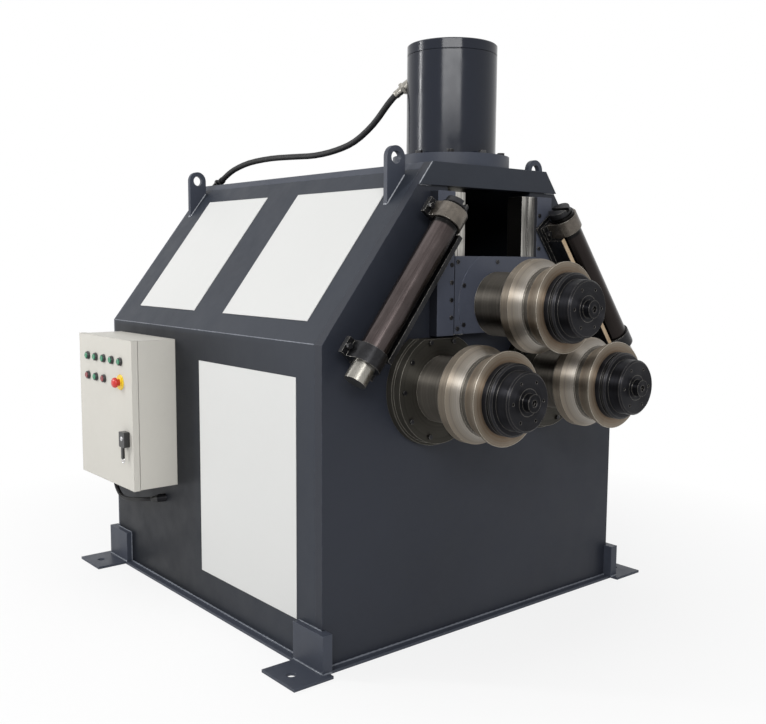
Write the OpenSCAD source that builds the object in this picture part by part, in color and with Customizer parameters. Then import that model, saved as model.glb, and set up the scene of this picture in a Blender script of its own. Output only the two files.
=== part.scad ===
// Angle roll bender: three driven or idle roll shafts on a welded housing, an upper slide moved by
// a hydraulic cylinder, two screw-driven guide posts and a control box on the left wall.
// X runs to the right seen from the front, Y to the rear, Z up.
// The origin lies on the floor in the middle of the four anchor holes.

/* [Housing] */
// Width of the housing over its side walls
housing_w = 1530; // [1480:10:1600]
// Depth of the housing over its front and rear plates
housing_d = 1590; // [1560:10:1640]
// Height at which the side walls turn into the slopes
shoulder_h = 1097; // [1060:1:1130]
// Height of the top plate
housing_h = 1713; // [1690:1:1740]
// Width of the top plate
top_w = 590; // [560:2:620]
// Thickness of the front plate
front_t = 40; // [30:1:50]
// Thickness of the side walls, slopes and rear plate
wall_t = 12; // [8:1:16]
// Thickness of the top plate
top_t = 25; // [20:1:30]
// Thickness of the base plate and the foot plates
base_t = 10; // [8:1:16]
// Reach of the base plate past the walls
base_over = 30; // [20:1:40]
// Height of the header beam over the window
header_h = 81; // [70:1:90]
// Stand of the header beam in front of the front plate
header_proud = 12; // [8:1:20]

/* [Cover panels] */
// Thickness of the white cover sheets
panel_t = 2; // [1:0.5:4]
// Distance of the lower panel behind the front plate's face
lower_panel_in = 146; // [120:1:170]
// Rear edge of the lower panel, from the middle
lower_panel_rear = 13; // [0:1:40]
// Lower edge of the lower panel
lower_panel_low = 140; // [130:1:170]
// Upper edge of the lower panel
lower_panel_high = 979; // [940:1:1000]
// Distance of the front slope panel behind the front plate's face
slope_panel_front_in = 153; // [140:1:170]
// Rear edge of the front slope panel, ahead of the middle
slope_panel_mid_1 = 82; // [60:1:100]
// Front edge of the rear slope panel, behind the middle
slope_panel_mid_2 = 142; // [120:1:160]
// Distance of the rear slope panel in front of the rear plate
slope_panel_rear_in = 155; // [140:1:170]
// Lower edge of the slope panels, as a share of the slope
panel_low_share = 0.11; // [0.05:0.01:0.2]
// Upper edge of the slope panels, as a share of the slope
panel_high_share = 0.86; // [0.7:0.01:0.88]

/* [Feet and lugs] */
// Reach of a foot plate past the side wall
foot_reach = 157; // [140:1:180]
// Length of a foot plate along the wall
foot_l = 192; // [180:1:220]
// Reach of a foot plate past the front or rear plate
foot_over = 65; // [60:1:80]
// Radius of an anchor hole
anchor_r = 16; // [12:1:20]
// Distance of the anchor holes from the side walls
anchor_out = 103; // [90:1:110]
// Distance of the anchor holes in from the front and rear plates
anchor_in = 30; // [20:1:40]
// Thickness of a foot's upright
upright_t = 25; // [18:1:30]
// Height of a foot's upright
upright_h = 142; // [120:1:170]
// Length of a foot's upright along the wall
upright_l = 135; // [120:1:150]
// Reach of a foot's upright past the front or rear plate
upright_over = 40; // [34:1:50]
// Wrap of a foot's upright around the housing corner
upright_wrap = 13; // [8:1:20]
// Thickness of a lifting lug
lug_t = 20; // [14:1:26]
// Outer radius of a lifting lug's eye
lug_r = 41; // [38:1:44]
// Radius of a lifting lug's hole
lug_hole_r = 22; // [18:1:25]
// Distance of the lug holes from the middle plane
lug_x = 366; // [360:1:374]
// Height of the lug holes above the top plate
lug_rise = 17; // [10:1:24]
// Distance of the front lugs behind the front plate's face
lug_front_in = 115; // [100:1:125]
// Distance of the rear lugs in front of the rear plate
lug_rear_in = 43; // [38:1:70]

/* [Slide and guides] */
// Half width between the keeper plates
keeper_in = 216; // [212:1:220]
// Half width over the keeper plates
keeper_out = 297; // [292:1:304]
// Stand of the keeper plates in front of the front plate
keeper_proud = 40; // [38:1:42]
// Half width between the guide rails
rail_in = 150; // [144:1:156]
// Height of the window and its guides
window_h = 526; // [510:1:540]
// Gap under the slide at rest
slide_clear = 4; // [3:1:8]
// Height of the slide
slide_h = 277; // [260:1:290]
// Thickness of the slide's face plate
face_t = 12; // [10:1:14]
// Stroke of the slide
slide_stroke = 180; // [120:5:190]

/* [Rolls] */
// Half distance between the lower roll axes
lower_x = 288; // [282:1:294]
// Drop of the lower roll axes under the window
lower_drop = 183; // [181:1:188]
// Rise of the upper roll axis over the window's lower edge, at rest
upper_rise = 107; // [105:1:112]
// Radius of the shafts in their bearings
shaft_r = 80; // [75:1:85]
// Radius of the shafts under the rolls
seat_r = 70; // [64:1:72]
// Radius of the rear spacers
spacer_r = 118; // [112:1:124]
// Radius of the ring at the bottom of the groove
ring_r = 132; // [128:1:136]
// Largest radius of the inner rolls
inner_r = 167; // [160:1:170]
// Largest radius of the outer rolls
outer_r = 158; // [152:1:162]
// Radius of the lock nut's collar
collar_r = 121; // [116:1:126]
// Radius of the lock nut's end
nut_r = 99; // [92:1:104]
// Radius of the shaft's end head
head_r = 30; // [26:1:34]
// Radius of the lower bearing flanges
flange_r = 195; // [190:1:200]
// Start of the inner roll, in front of the front plate
inner_d = 210; // [202:1:216]
// Start of the groove ring, in front of the front plate
ring_d = 289; // [282:1:294]
// Start of the outer roll, in front of the front plate
outer_d = 312; // [306:1:318]
// Start of the lock nut, in front of the front plate
nut_d = 370; // [362:1:376]
// Front of the lock nut's collar, in front of the front plate
collar_d = 412; // [406:1:418]
// Front of the lock nut, in front of the front plate
nut_end_d = 462; // [456:1:466]
// Front of the shaft's end head, in front of the front plate
head_d = 487; // [480:1:494]

/* [Hydraulic cylinder] */
// Distance of the cylinder axis behind the front plate's face
cylinder_in = 212; // [210:1:218]
// Outer radius of the barrel
barrel_r = 170; // [165:1:175]
// Radius of the cylinder's foot flange
foot_flange_r = 222; // [216:1:222]
// Thickness of the cylinder's foot flange
foot_flange_t = 47; // [40:1:52]
// Spare length of the barrel over the piston at full stroke
barrel_spare = 103; // [85:1:120]
// Thickness of the cylinder's cap
cap_t = 40; // [34:1:46]
// Bore radius of the barrel
bore_r = 150; // [140:1:152]
// Radius of the piston rod
rod_r = 60; // [50:1:66]
// Diameter of the hose
hose_dia = 25; // [20:1:28]

/* [Guide posts] */
// Distance of a post's lower tube end from the middle plane
post_x = 636; // [626:1:646]
// Drop of a post's lower tube end under the window
post_drop = 25; // [18:1:32]
// Length of a post's tube
post_l = 507; // [490:1:520]
// Outer radius of a post's tube
post_r = 48; // [46:1:50]
// Radius of the ram in the tube
ram_r = 39; // [36:1:40]
// Stroke of the ram
ram_stroke = 200; // [150:5:240]
// Reach of the ram past the tube at rest
ram_reach = 122; // [110:1:140]
// Radius of the spindle's journal
spindle_r = 20; // [16:1:22]

/* [Control box] */
// Width of the box along the wall
box_w = 512; // [500:2:530]
// Height of the box
box_h = 600; // [590:2:610]
// Depth of the box without its door
box_depth = 162; // [150:1:170]
// Depth of the door
door_t = 28; // [24:1:32]
// Thickness of the box sheet
sheet_t = 2; // [1.5:0.5:3]
// Distance of the box in front of the rear plate
box_rear_in = 60; // [50:1:70]
// Lower edge of the box
box_low = 448; // [440:1:456]
// Distance between neighbouring push-buttons
button_pitch = 80; // [70:1:84]
// Radius of a push-button's plunger
button_r = 11; // [10:0.5:12]
// Travel of a push-button
button_travel = 3; // [2:0.5:4]
// Radius of the emergency stop's head
stop_r = 21; // [19:0.5:23]

/* [Drive] */
// Tooth module of the gears
gear_module = 12; // [11:1:13]
// Width of the gears
gear_w = 60; // [50:1:70]

/* [Hidden] */

$fn = 64;
cut_over = 5;          // overrun of cutting bodies
run_gap = 0.05;        // running and seat clearance of round fits
slide_gap = 0.5;       // clearance of flat sliding faces
face_gap = 1;          // clearance between a turning face and a fixed one
weld_gap = 0.2;        // seam between two sheets of one welded side
panel_gap = 0.1;       // paint gap behind the cover sheets
full_turn = 360;       // degrees in a full turn

paint = "#3b404a";
white_paint = "#e9e9e6";
box_paint = "#c9c7bf";
bright_steel = "#b9b6ae";
roll_steel = "#a79d8c";
black_steel = "#232426";
tube_steel = "#6d625b";
rubber = "#1b1b1c";
red_cap = "#b3261e";
green_cap = "#1f6b4a";

// Housing outline
front_y = -housing_d / 2;
rear_y = housing_d / 2;
inside_y = front_y + front_t;
back_y = rear_y - wall_t;
half_w = housing_w / 2;
half_top = top_w / 2;
slope_run = half_w - half_top;
slope_rise = housing_h - shoulder_h;
slope_deg = atan2(slope_run, slope_rise);
top_low = housing_h - top_t;
slope_step = wall_t / cos(slope_deg);
mitre = wall_t * tan(slope_deg / 2);
header_low = housing_h - header_h;
guide_low = header_low - window_h;
function slope_x(z) = half_top + (housing_h - z) * tan(slope_deg);
function house(low) = [[-half_w, low], [half_w, low], [half_w, shoulder_h], [half_top, housing_h],
                       [-half_top, housing_h], [-half_w, shoulder_h]];

// Slide stack, measured in front of the front plate
face_proud = 1;
face_side_gap = 3;
face_front_d = keeper_proud + face_proud;
face_back_d = face_front_d - face_t;
rail_clear = 3;
rail_proud = face_back_d - rail_clear;
slide_low = guide_low + slide_clear;
slide_top = slide_low + slide_h;
face_half = keeper_in - face_side_gap;
block_half = rail_in - slide_gap;
block_depth = 320;
block_back = front_y + block_depth;
block_inset = 2;
collar_reach = 60;
block_collar = rail_in + collar_reach;
rail_depth = 10;
rail_back = inside_y + rail_depth;
cover_r = 195;
cover_t = 2;
cover_front_d = face_front_d + cover_t;
shaft_bush_r = shaft_r + run_gap;
rail_step = 32;
rail_step_back = 4;
guide_gap = 20;
guide_top = header_low - guide_gap;

// Bearing flanges of the lower shafts
flange_d = 58;
flange_step_d = 28;
flange_step = 10;
flange_step_r = flange_r + flange_step;
flange_flat_gap = 6;
flange_flat = guide_low - flange_flat_gap;
flange_bolt_circle = 174;
flange_bolt_count = 10;
plate_hole_gap = 12;
plate_hole_r = shaft_r + plate_hole_gap;

// Roll axes and profiles
lower_z = guide_low - lower_drop;
upper_z = guide_low + upper_rise;
rim_drop = 5;
rim_r = inner_r - rim_drop;
rim_w = 8;
rim_d = inner_d + rim_w;
ridge_w = 40;
ridge_d = inner_d + ridge_w;
bevel_step = 8;
bevel_r = ring_r + bevel_step;
outer_step = 6;
outer_back_r = ring_r + outer_step;
outer_ridge_w = 8;
outer_ridge_d = nut_d - outer_ridge_w;
nut_groove_in = 20;
nut_groove_d = nut_d + nut_groove_in;
nut_groove_w = 8;
nut_groove_depth = 8;
nut_chamfer = 6;
thread_r = 45;
pin_hole_r = 5;
pin_hole_depth = 12;
pin_circle = 72;
pin_count = 6;
socket_r = 12;
socket_depth = 10;
bore_fit = seat_r + run_gap;
upper_shoulder = cover_front_d + face_gap;
lower_shoulder = flange_d + face_gap;
shaft_inset = 10;
upper_back = block_depth - shaft_inset;

// Gears and their case
gear_teeth = 30;
pinion_teeth = 2 * round(lower_x / gear_module) - gear_teeth;
gear_pitch_r = lower_x * gear_teeth / (gear_teeth + pinion_teeth);
pinion_pitch_r = lower_x - gear_pitch_r;
tooth_addendum = 9;
tooth_dedendum = 14;
tooth_share = 0.4;
tooth_flank = 20;
gear_behind = 55;
gear_front = block_back + gear_behind;
pinion_over = 5;
journal_r = 60;
pinion_journal_r = 40;
case_behind = 110;
case_front = gear_front + gear_w + case_behind;
case_t = 100;
case_half = 420;
case_drop = 183;
case_rise = 137;
case_low = lower_z - case_drop;
case_high = lower_z + case_rise;
case_foot_half = 300;
journal_in = 60;
journal_end = case_front + journal_in;
motor_r = 130;
motor_l = 400;

// Pump set with its tank
tank_half = 330;
tank_rear_in = 153;
tank_d = 360;
tank_front = back_y - tank_rear_in - tank_d;
tank_high = 400;
pump_r = 110;
pump_h = 300;
valve_w = 140;
valve_h = 120;

// Cylinder
cylinder_y = front_y + cylinder_in;
flange_top = housing_h + foot_flange_t;
piston_rise = 30;
piston_low = flange_top + piston_rise;
piston_t = 60;
barrel_top = piston_low + piston_t + slide_stroke + barrel_spare;
rod_hole_gap = 4;
rod_hole_r = rod_r + rod_hole_gap;
cap_rim = 3;
cylinder_bolt_circle = 197;
cylinder_bolt_count = 10;
cylinder_bolt_turn = 10;
cylinder_bolt_r = 14;
port_hole_r = 9;

// Bolts
bolt_r = 11;
bolt_h = 12;
plain_bolt_r = 9;
plain_bolt_h = 7;
small_bolt_r = 9;
small_bolt_h = 3;
keeper_bolt_h = 3;
keeper_bolt_in = 13;
keeper_bolt_rise = 64;
keeper_bolt_low = guide_low + keeper_bolt_rise;
keeper_bolt_drop = 90;
keeper_bolt_count = 7;
keeper_bolt_pitch = (window_h - keeper_bolt_rise - keeper_bolt_drop) / (keeper_bolt_count - 1);
face_bolt_x = 200;
face_bolt_edge = 20;
cover_bolt_circle = 184;
cover_bolt_degs = [22.5, 157.5, 202.5, 337.5];

// Guide posts, in a frame whose Z runs up the slope from the tube's lower end
post_z = guide_low - post_drop;
post_head_step = 1;
post_head_r = post_r + post_head_step;
plate_t = 6;
plate_gap = 1;
plate_face = post_r + plate_gap;
plate_clear = 1;
post_d = cover_front_d + small_bolt_h + plate_clear + plate_t + plate_face;
post_y = front_y - post_d;
plate_in = 96;
plate_out = 20;
plate_low = -64;
plate_high = 590;
saddle_l = 60;
saddle_low = -saddle_l;
saddle_high = 516;
saddle_wall = 8;
saddle_r = post_r + saddle_wall;
post_bolt_gap = 1;
post_bolt_x = saddle_r + bolt_r + post_bolt_gap;
post_bolt_h = 14;
saddle_ear = post_bolt_x + bolt_r;
saddle_ear_t = 12;
web_gap = 2;
web_in = saddle_r + web_gap;
web_t = 18;
web_proud = 23;
web_lap = 2;
stud_in = 88;
stud_out = 16;
stud_low = -40;
stud_l = 70;
stud_clear = 84;
stud_high = (post_x - keeper_out - stud_clear) / sin(slope_deg) - stud_l;
ram_hold = 128;
ram_l = ram_reach + ram_stroke + ram_hold;
ram_bore_r = 16;
ram_nose = 40;
ram_bore_l = ram_l - ram_nose;
head_l = 80;
screw_r = 14;
screw_grip = 68;
screw_low = ram_hold - screw_grip;
thrust_r = 34;
thrust_l = 30;
dog_r = 42;
dog_l = 22;
dog_slot = 18;
dog_slot_depth = 14;

// Control box
box_rear = back_y - box_rear_in;
box_front = box_rear - box_w;
box_high = box_low + box_h;
box_face = -half_w - box_depth;
door_face = box_face - door_t;
door_gap = 2;
door_lip = 2;
hinge_out = 12;
hinge_y = box_rear + hinge_out;
hinge_x = box_face - hinge_out;
hinge_pin_r = 4;
hinge_eye_r = 8;
hinge_l = 50;
hinge_inset = 70;
hinge_arm_t = 5;
hinge_arm_w = 10;
hinge_lows = [box_low + hinge_inset, box_high - hinge_inset - hinge_l];
bezel_r = 15;
bezel_h = 4;
cap_r = 12;
cap_h = 6;
plunger_back = 30;
upper_row_rise = 512;
lower_row_rise = 428;
button_row_z = [box_low + upper_row_rise, box_low + lower_row_rise];
button_in = 421;
button_y0 = box_front + button_in;
button_places = [for (i = [0:7]) [button_y0 - button_pitch * (i % 5), button_row_z[floor(i / 5)]]];
button_colours = [green_cap, green_cap, green_cap, green_cap, green_cap, red_cap, green_cap, red_cap];
stop_in = 105;
stop_place = [box_front + stop_in, button_row_z[1]];
stop_collar_r = 30;
stop_collar_h = 4;
stop_stem_r = 13;
stop_neck = 12;
stop_head_l = 20;
lock_in = 54;
lock_rise = 204;
lock_place = [box_front + lock_in, box_low + lock_rise];
lock_w = 50;
lock_h = 62;
lock_l = 24;
lock_tail_w = 14;
lock_tail_l = 78;
lock_tail_t = 10;
lock_stem_r = 8;
lock_round = 6;

// Hose points by hand: across, along from its share of the way between cylinder and rear plate, and
// above the top plate
hose_points = [[-124, 146, 307], [-137, 54, 288], [-148, -25, 255], [-155, -58, 187],
               [-160, -62, 132], [-168, -60, 106], [-180, -43, 95], [-194, -18, 99],
               [-212, 17, 102], [-230, 52, 93], [-243, 52, 69], [-251, 10, 38], [-256, -60, 12]];
hose_last = len(hose_points) - 1;
hose_route = [for (i = [0:hose_last]) hose_points[i]
    + [0, cylinder_y + (back_y - cylinder_y) * i / hose_last, housing_h]];
// Cable points by hand: out from the wall, along from the box's rear side, and under the box
cable_points = [[-85, -93, -14], [-85, -93, -22], [-85, -93, -30], [-85, -97, -55], [-84, -108, -77],
                [-83, -126, -95], [-82, -148, -106], [-81, -174, -110], [-80, -207, -108], [-77, -240, -104],
                [-74, -272, -98], [-71, -302, -93], [-66, -327, -89], [-55, -349, -86],
                [-39, -367, -83], [-24, -378, -81]];
cable_route = [for (p = cable_points) p + [-half_w, box_rear, box_low]];
cable_dia = 18;
tube_steps = 2;
tube_sides = 10;
ring_ref = [1, 0, 1];
fitting_r = 20;
fitting_l = 60;
gland_r = 17;

// Sweep of a round tube along a smooth curve through the route's points
function curve_at(p, i, t) =
    let (a = p[max(i - 1, 0)], b = p[i], c = p[i + 1], d = p[min(i + 2, len(p) - 1)])
    0.5 * (2 * b + (c - a) * t + (2 * a - 5 * b + 4 * c - d) * t * t
           + (3 * b - 3 * c + d - a) * t * t * t);
function curve(p, steps) = concat(
    [for (i = [0:len(p) - 2]) for (s = [0:steps - 1]) curve_at(p, i, s / steps)], [p[len(p) - 1]]);
function unit(v) = v / norm(v);
function tangent(c, i) = unit(c[min(i + 1, len(c) - 1)] - c[max(i - 1, 0)]);
function ring_side(t) = unit(cross(t, ring_ref));
function tube_points(c, r, n) = [for (i = [0:len(c) - 1])
    let (t = tangent(c, i), u = ring_side(t), v = cross(t, u))
    for (k = [0:n - 1]) c[i] + r * (u * cos(full_turn * k / n) + v * sin(full_turn * k / n))];
function tube_faces(m, n) = concat(
    [[for (k = [0:n - 1]) k]],
    [for (i = [0:m - 2]) for (k = [0:n - 1])
        [i * n + k, (i + 1) * n + k, (i + 1) * n + (k + 1) % n, i * n + (k + 1) % n]],
    [[for (k = [n - 1:-1:0]) (m - 1) * n + k]]);

hose_line = curve(hose_route, tube_steps);
hose_out = tangent(hose_line, 0);
hose_in = tangent(hose_line, len(hose_line) - 1);
cable_line = curve(cable_route, tube_steps);
cable_in = tangent(cable_line, len(cable_line) - 1);

module swept_tube(route, dia) {
    c = curve(route, tube_steps);
    polyhedron(tube_points(c, dia / 2, tube_sides), tube_faces(len(c), tube_sides), convexity = 6);
}

// Plate with an outline in X and Z, from its rear face forwards
module plate_y(points, back, t) {
    translate([0, back, 0])
        rotate([90, 0, 0])
            linear_extrude(t)
                polygon(points);
}

// Box given by its two corners
module block(low, high) {
    translate(low)
        cube(high - low);
}

// Round bar along Y
module bar_y(r, x, z, front, back) {
    translate([x, back, z])
        rotate([90, 0, 0])
            cylinder(r = r, h = back - front);
}

// Turned piece about a Y axis, its profile as radius and distance in front of the front plate
module turned(x, z, points) {
    translate([x, front_y, z])
        rotate([90, 0, 0])
            rotate_extrude()
                polygon(points);
}

// Both sides of the machine
module both_sides() {
    children();
    mirror([1, 0, 0])
        children();
}

// Front and rear
module both_ends() {
    children();
    mirror([0, 1, 0])
        children();
}

module base_plate() {
    color(paint)
        block([-half_w - base_over, front_y - base_over, 0],
              [half_w + base_over, rear_y + base_over, base_t]);
}

module front_plate() {
    color(paint)
        difference() {
            plate_y(house(base_t), inside_y, front_t);
            block([-keeper_in, front_y - cut_over, guide_low], [keeper_in, inside_y + cut_over, header_low]);
            both_sides()
                bar_y(plate_hole_r, lower_x, lower_z, front_y - cut_over, inside_y + cut_over);
        }
}

module rear_plate() {
    color(paint)
        plate_y(house(base_t), rear_y, wall_t);
}

// One side of the housing: upright wall and slope, parted by the weld seam
module side_sheets() {
    seam_x = weld_gap * sin(slope_deg);
    seam_z = weld_gap * cos(slope_deg);
    plate_y([[half_w, base_t], [half_w, shoulder_h], [half_w - wall_t, shoulder_h - mitre],
             [half_w - wall_t, base_t]], back_y, back_y - inside_y);
    plate_y([[half_w - seam_x, shoulder_h + seam_z], [slope_x(top_low), top_low],
             [slope_x(top_low) - slope_step, top_low],
             [half_w - wall_t - seam_x, shoulder_h - mitre + seam_z]], back_y, back_y - inside_y);
}

module housing_left() {
    color(paint)
        mirror([1, 0, 0])
            side_sheets();
}

module housing_right() {
    color(paint)
        side_sheets();
}

module top_plate() {
    color(paint)
        difference() {
            plate_y([[-half_top, housing_h], [half_top, housing_h], [slope_x(top_low), top_low],
                     [-slope_x(top_low), top_low]], back_y, back_y - inside_y);
            translate([0, cylinder_y, top_low - cut_over])
                cylinder(r = rod_hole_r, h = top_t + 2 * cut_over);
        }
}

module header_beam() {
    color(paint)
        plate_y([[-half_top, housing_h], [half_top, housing_h], [slope_x(header_low), header_low],
                 [-slope_x(header_low), header_low]], front_y, header_proud);
}

// White sheet on a slope between two shares of its length
module slope_panel(front, rear) {
    low = [half_w - slope_run * panel_low_share, shoulder_h + slope_rise * panel_low_share];
    high = [half_w - slope_run * panel_high_share, shoulder_h + slope_rise * panel_high_share];
    out = [cos(slope_deg), sin(slope_deg)];
    skin = out * panel_gap;
    face = out * (panel_gap + panel_t);
    plate_y([low + skin, low + face, high + face, high + skin], rear, rear - front);
}

module cover_panels() {
    color(white_paint)
        both_sides() {
            block([half_w + panel_gap, front_y + lower_panel_in, lower_panel_low],
                  [half_w + panel_gap + panel_t, lower_panel_rear, lower_panel_high]);
            slope_panel(front_y + slope_panel_front_in, -slope_panel_mid_1);
            slope_panel(slope_panel_mid_2, back_y - slope_panel_rear_in);
        }
}

// Foot at the front right corner: floor plate with an anchor hole and a corner upright
module foot() {
    edge = front_y - foot_over;
    difference() {
        block([half_w, edge, 0], [half_w + foot_reach, edge + foot_l, base_t]);
        block([half_w - cut_over, front_y - base_over, -cut_over],
              [half_w + base_over, edge + foot_l + cut_over, base_t + cut_over]);
        translate([half_w + anchor_out, front_y + anchor_in, -cut_over])
            cylinder(r = anchor_r, h = base_t + 2 * cut_over);
    }
    upright_edge = front_y - upright_over;
    block([half_w, upright_edge, base_t], [half_w + upright_t, front_y + upright_l, upright_h]);
    block([half_w - upright_wrap, upright_edge, base_t], [half_w + upright_t, front_y, upright_h]);
}

module anchor_feet() {
    color(paint)
        both_sides()
            both_ends()
                foot();
}

// Lifting lug on the right slope, in a plane across the machine
module lug(y) {
    z = housing_h + lug_rise;
    outer = lug_x + lug_r;
    inner = lug_x - lug_r;
    foot_z = housing_h - (outer - half_top) / tan(slope_deg);
    inner_z = housing_h - (inner - half_top) / tan(slope_deg);
    difference() {
        union() {
            plate_y([[inner, z], [outer, z], [outer, foot_z], [inner, inner_z]], y + lug_t / 2, lug_t);
            bar_y(lug_r, lug_x, z, y - lug_t / 2, y + lug_t / 2);
        }
        bar_y(lug_hole_r, lug_x, z, y - lug_t, y + lug_t);
    }
}

module lifting_lugs() {
    color(paint)
        both_sides() {
            lug(front_y + lug_front_in);
            lug(back_y - lug_rear_in);
        }
}

module keeper_plates() {
    color(paint)
        both_sides()
            block([keeper_in, front_y - keeper_proud, guide_low], [keeper_out, front_y, guide_top]);
}

module guide_rails() {
    color(bright_steel)
        both_sides() {
            block([rail_in, front_y - rail_proud + rail_step_back, guide_low],
                  [keeper_in, rail_back, guide_top]);
            block([rail_in + rail_step, front_y - rail_proud, guide_low], [keeper_in, rail_back, guide_top]);
        }
}

module cylinder_flange() {
    color(paint)
        difference() {
            translate([0, cylinder_y, housing_h])
                cylinder(r = foot_flange_r, h = foot_flange_t);
            translate([0, cylinder_y, housing_h - cut_over])
                cylinder(r = rod_r + run_gap, h = foot_flange_t + 2 * cut_over);
        }
}

module cylinder_barrel() {
    color(paint)
        difference() {
            translate([0, cylinder_y, flange_top])
                cylinder(r = barrel_r, h = barrel_top - flange_top);
            translate([0, cylinder_y, flange_top - cut_over])
                cylinder(r = bore_r, h = barrel_top - flange_top + 2 * cut_over);
            stub(hose_route[0], -hose_out, fitting_l, port_hole_r);
        }
}

module cylinder_cap() {
    color(paint)
        translate([0, cylinder_y, barrel_top])
            rotate_extrude()
                polygon([[0, 0], [barrel_r - cap_rim, 0], [barrel_r - cap_rim, cap_rim], [barrel_r, cap_rim],
                         [barrel_r, cap_t - cap_rim], [barrel_r - cap_rim, cap_t], [0, cap_t]]);
}

// Round stub from a route's end, along a direction given by its unit vector
module stub(end, along, l, r) {
    translate(end)
        rotate([0, acos(along[2]), atan2(along[1], along[0])])
            cylinder(r = r, h = l);
}

module line_fittings() {
    hose_end = hose_route[hose_last];
    cable_end = cable_route[len(cable_route) - 1];
    color(bright_steel) {
        difference() {
            stub(hose_route[0], -hose_out, fitting_l, fitting_r);
            translate([0, cylinder_y, flange_top])
                cylinder(r = barrel_r, h = barrel_top - flange_top);
        }
        difference() {
            stub(hose_end, hose_in, fitting_l, fitting_r);
            block([-half_top, hose_end[1] - fitting_l, housing_h - fitting_l],
                  [half_top, hose_end[1] + 2 * fitting_l, housing_h]);
        }
        stub(cable_route[0], [0, 0, 1], box_low - cable_route[0][2], gland_r);
        difference() {
            stub(cable_end, cable_in, fitting_l, gland_r);
            block([-half_w, cable_end[1] - 2 * fitting_l, cable_end[2] - fitting_l],
                  [fitting_l - half_w, cable_end[1] + fitting_l, cable_end[2] + fitting_l]);
        }
    }
}

module hydraulic_hose() {
    color(rubber)
        swept_tube(hose_route, hose_dia);
}

module box_cable() {
    color(rubber)
        swept_tube(cable_route, cable_dia);
}

module bearing_flanges() {
    color(paint)
        both_sides()
            difference() {
                turned(lower_x, lower_z, [[shaft_bush_r, 0], [flange_step_r, 0],
                                          [flange_step_r, flange_step_d], [flange_r, flange_step_d],
                                          [flange_r, flange_d], [shaft_bush_r, flange_d]]);
                block([lower_x - 2 * flange_r, front_y - flange_d - cut_over, flange_flat],
                      [lower_x + 2 * flange_r, front_y + cut_over, flange_flat + flange_r]);
            }
}

// Hexagon bolt head on a face turned to the front
module head_front(x, z, d, r, h) {
    translate([x, front_y - d, z])
        rotate([90, 0, 0])
            cylinder(r = r, h = h, $fn = 6);
}

module frame_bolts() {
    color(black_steel) {
        for (i = [0:cylinder_bolt_count - 1])
            translate([0, cylinder_y, flange_top])
                rotate(cylinder_bolt_turn + i * full_turn / cylinder_bolt_count)
                    translate([cylinder_bolt_circle, 0, 0])
                        cylinder(r = cylinder_bolt_r, h = bolt_h, $fn = 6);
        both_sides() {
            for (i = [0:flange_bolt_count - 1])
                let (a = i * full_turn / flange_bolt_count)
                    head_front(lower_x + flange_bolt_circle * cos(a), lower_z + flange_bolt_circle * sin(a),
                               flange_d, plain_bolt_r, plain_bolt_h);
            for (i = [0:keeper_bolt_count - 1])
                head_front(keeper_in + keeper_bolt_in, keeper_bolt_low + i * keeper_bolt_pitch,
                           keeper_proud, plain_bolt_r, keeper_bolt_h);
            post_frame()
                for (x = [-post_bolt_x, post_bolt_x])
                    for (z = [saddle_low, saddle_high])
                        translate([x, plate_face - saddle_ear_t, z + saddle_l / 2])
                            rotate([90, 0, 0])
                                cylinder(r = bolt_r, h = post_bolt_h, $fn = 6);
        }
    }
}

module gear_motor() {
    color(paint)
        difference() {
            union() {
                block([-case_half, case_front, case_low], [case_half, case_front + case_t, case_high]);
                block([-case_foot_half, case_front, base_t], [case_foot_half, case_front + case_t, case_low]);
                bar_y(motor_r, 0, lower_z, case_front + case_t, case_front + case_t + motor_l);
            }
            both_sides()
                bar_y(journal_r + run_gap, lower_x, lower_z, case_front - cut_over, journal_end + face_gap);
            bar_y(pinion_journal_r + run_gap, 0, lower_z, case_front - cut_over, journal_end + face_gap);
        }
}

module pump_set() {
    color(paint) {
        block([-tank_half, tank_front, base_t], [tank_half, tank_front + tank_d, tank_high]);
        translate([0, tank_front + tank_d / 2, tank_high])
            cylinder(r = pump_r, h = pump_h);
        block([tank_half - valve_w, tank_front, tank_high],
              [tank_half, tank_front + tank_d / 2, tank_high + valve_h]);
    }
}

// Frame of the right guide post, its Z running up the slope
module post_frame() {
    translate([post_x, post_y, post_z])
        rotate([0, -slope_deg, 0])
            children();
}

// Saddle around a post between two heights, with two bolted ears
module saddle(low, outer_r) {
    translate([0, 0, low])
        cylinder(r = outer_r, h = saddle_l);
    block([-outer_r, 0, low], [outer_r, plate_face, low + saddle_l]);
    block([-saddle_ear, plate_face - saddle_ear_t, low],
          [saddle_ear, plate_face + plate_t, low + saddle_l]);
}

module post_brackets() {
    color(paint)
        both_sides()
            post_frame()
                difference() {
                    union() {
                        block([-plate_in, plate_face, plate_low],
                              [plate_out, plate_face + plate_t, plate_high]);
                        block([-web_in - web_t, -web_proud, saddle_low + saddle_l - web_lap],
                              [-web_in, plate_face + plate_t, saddle_high + web_lap]);
                        saddle(saddle_low, saddle_r);
                        saddle(saddle_high, saddle_r);
                        for (z = [stud_low, stud_high])
                            block([-stud_in, plate_face, z], [-stud_out, post_d, z + stud_l]);
                    }
                    translate([0, 0, plate_low - cut_over])
                        cylinder(r = ram_r + run_gap, h = cut_over - plate_low);
                    cylinder(r = post_head_r + run_gap, h = plate_high + cut_over);
                }
}

module post_tubes() {
    color(tube_steel)
        both_sides()
            post_frame()
                rotate_extrude()
                    polygon([[ram_r + run_gap, 0], [post_r, 0], [post_r, post_l], [post_head_r, post_l],
                             [post_head_r, post_l + head_l], [spindle_r + run_gap, post_l + head_l],
                             [spindle_r + run_gap, post_l], [ram_r + run_gap, post_l]]);
}

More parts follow.
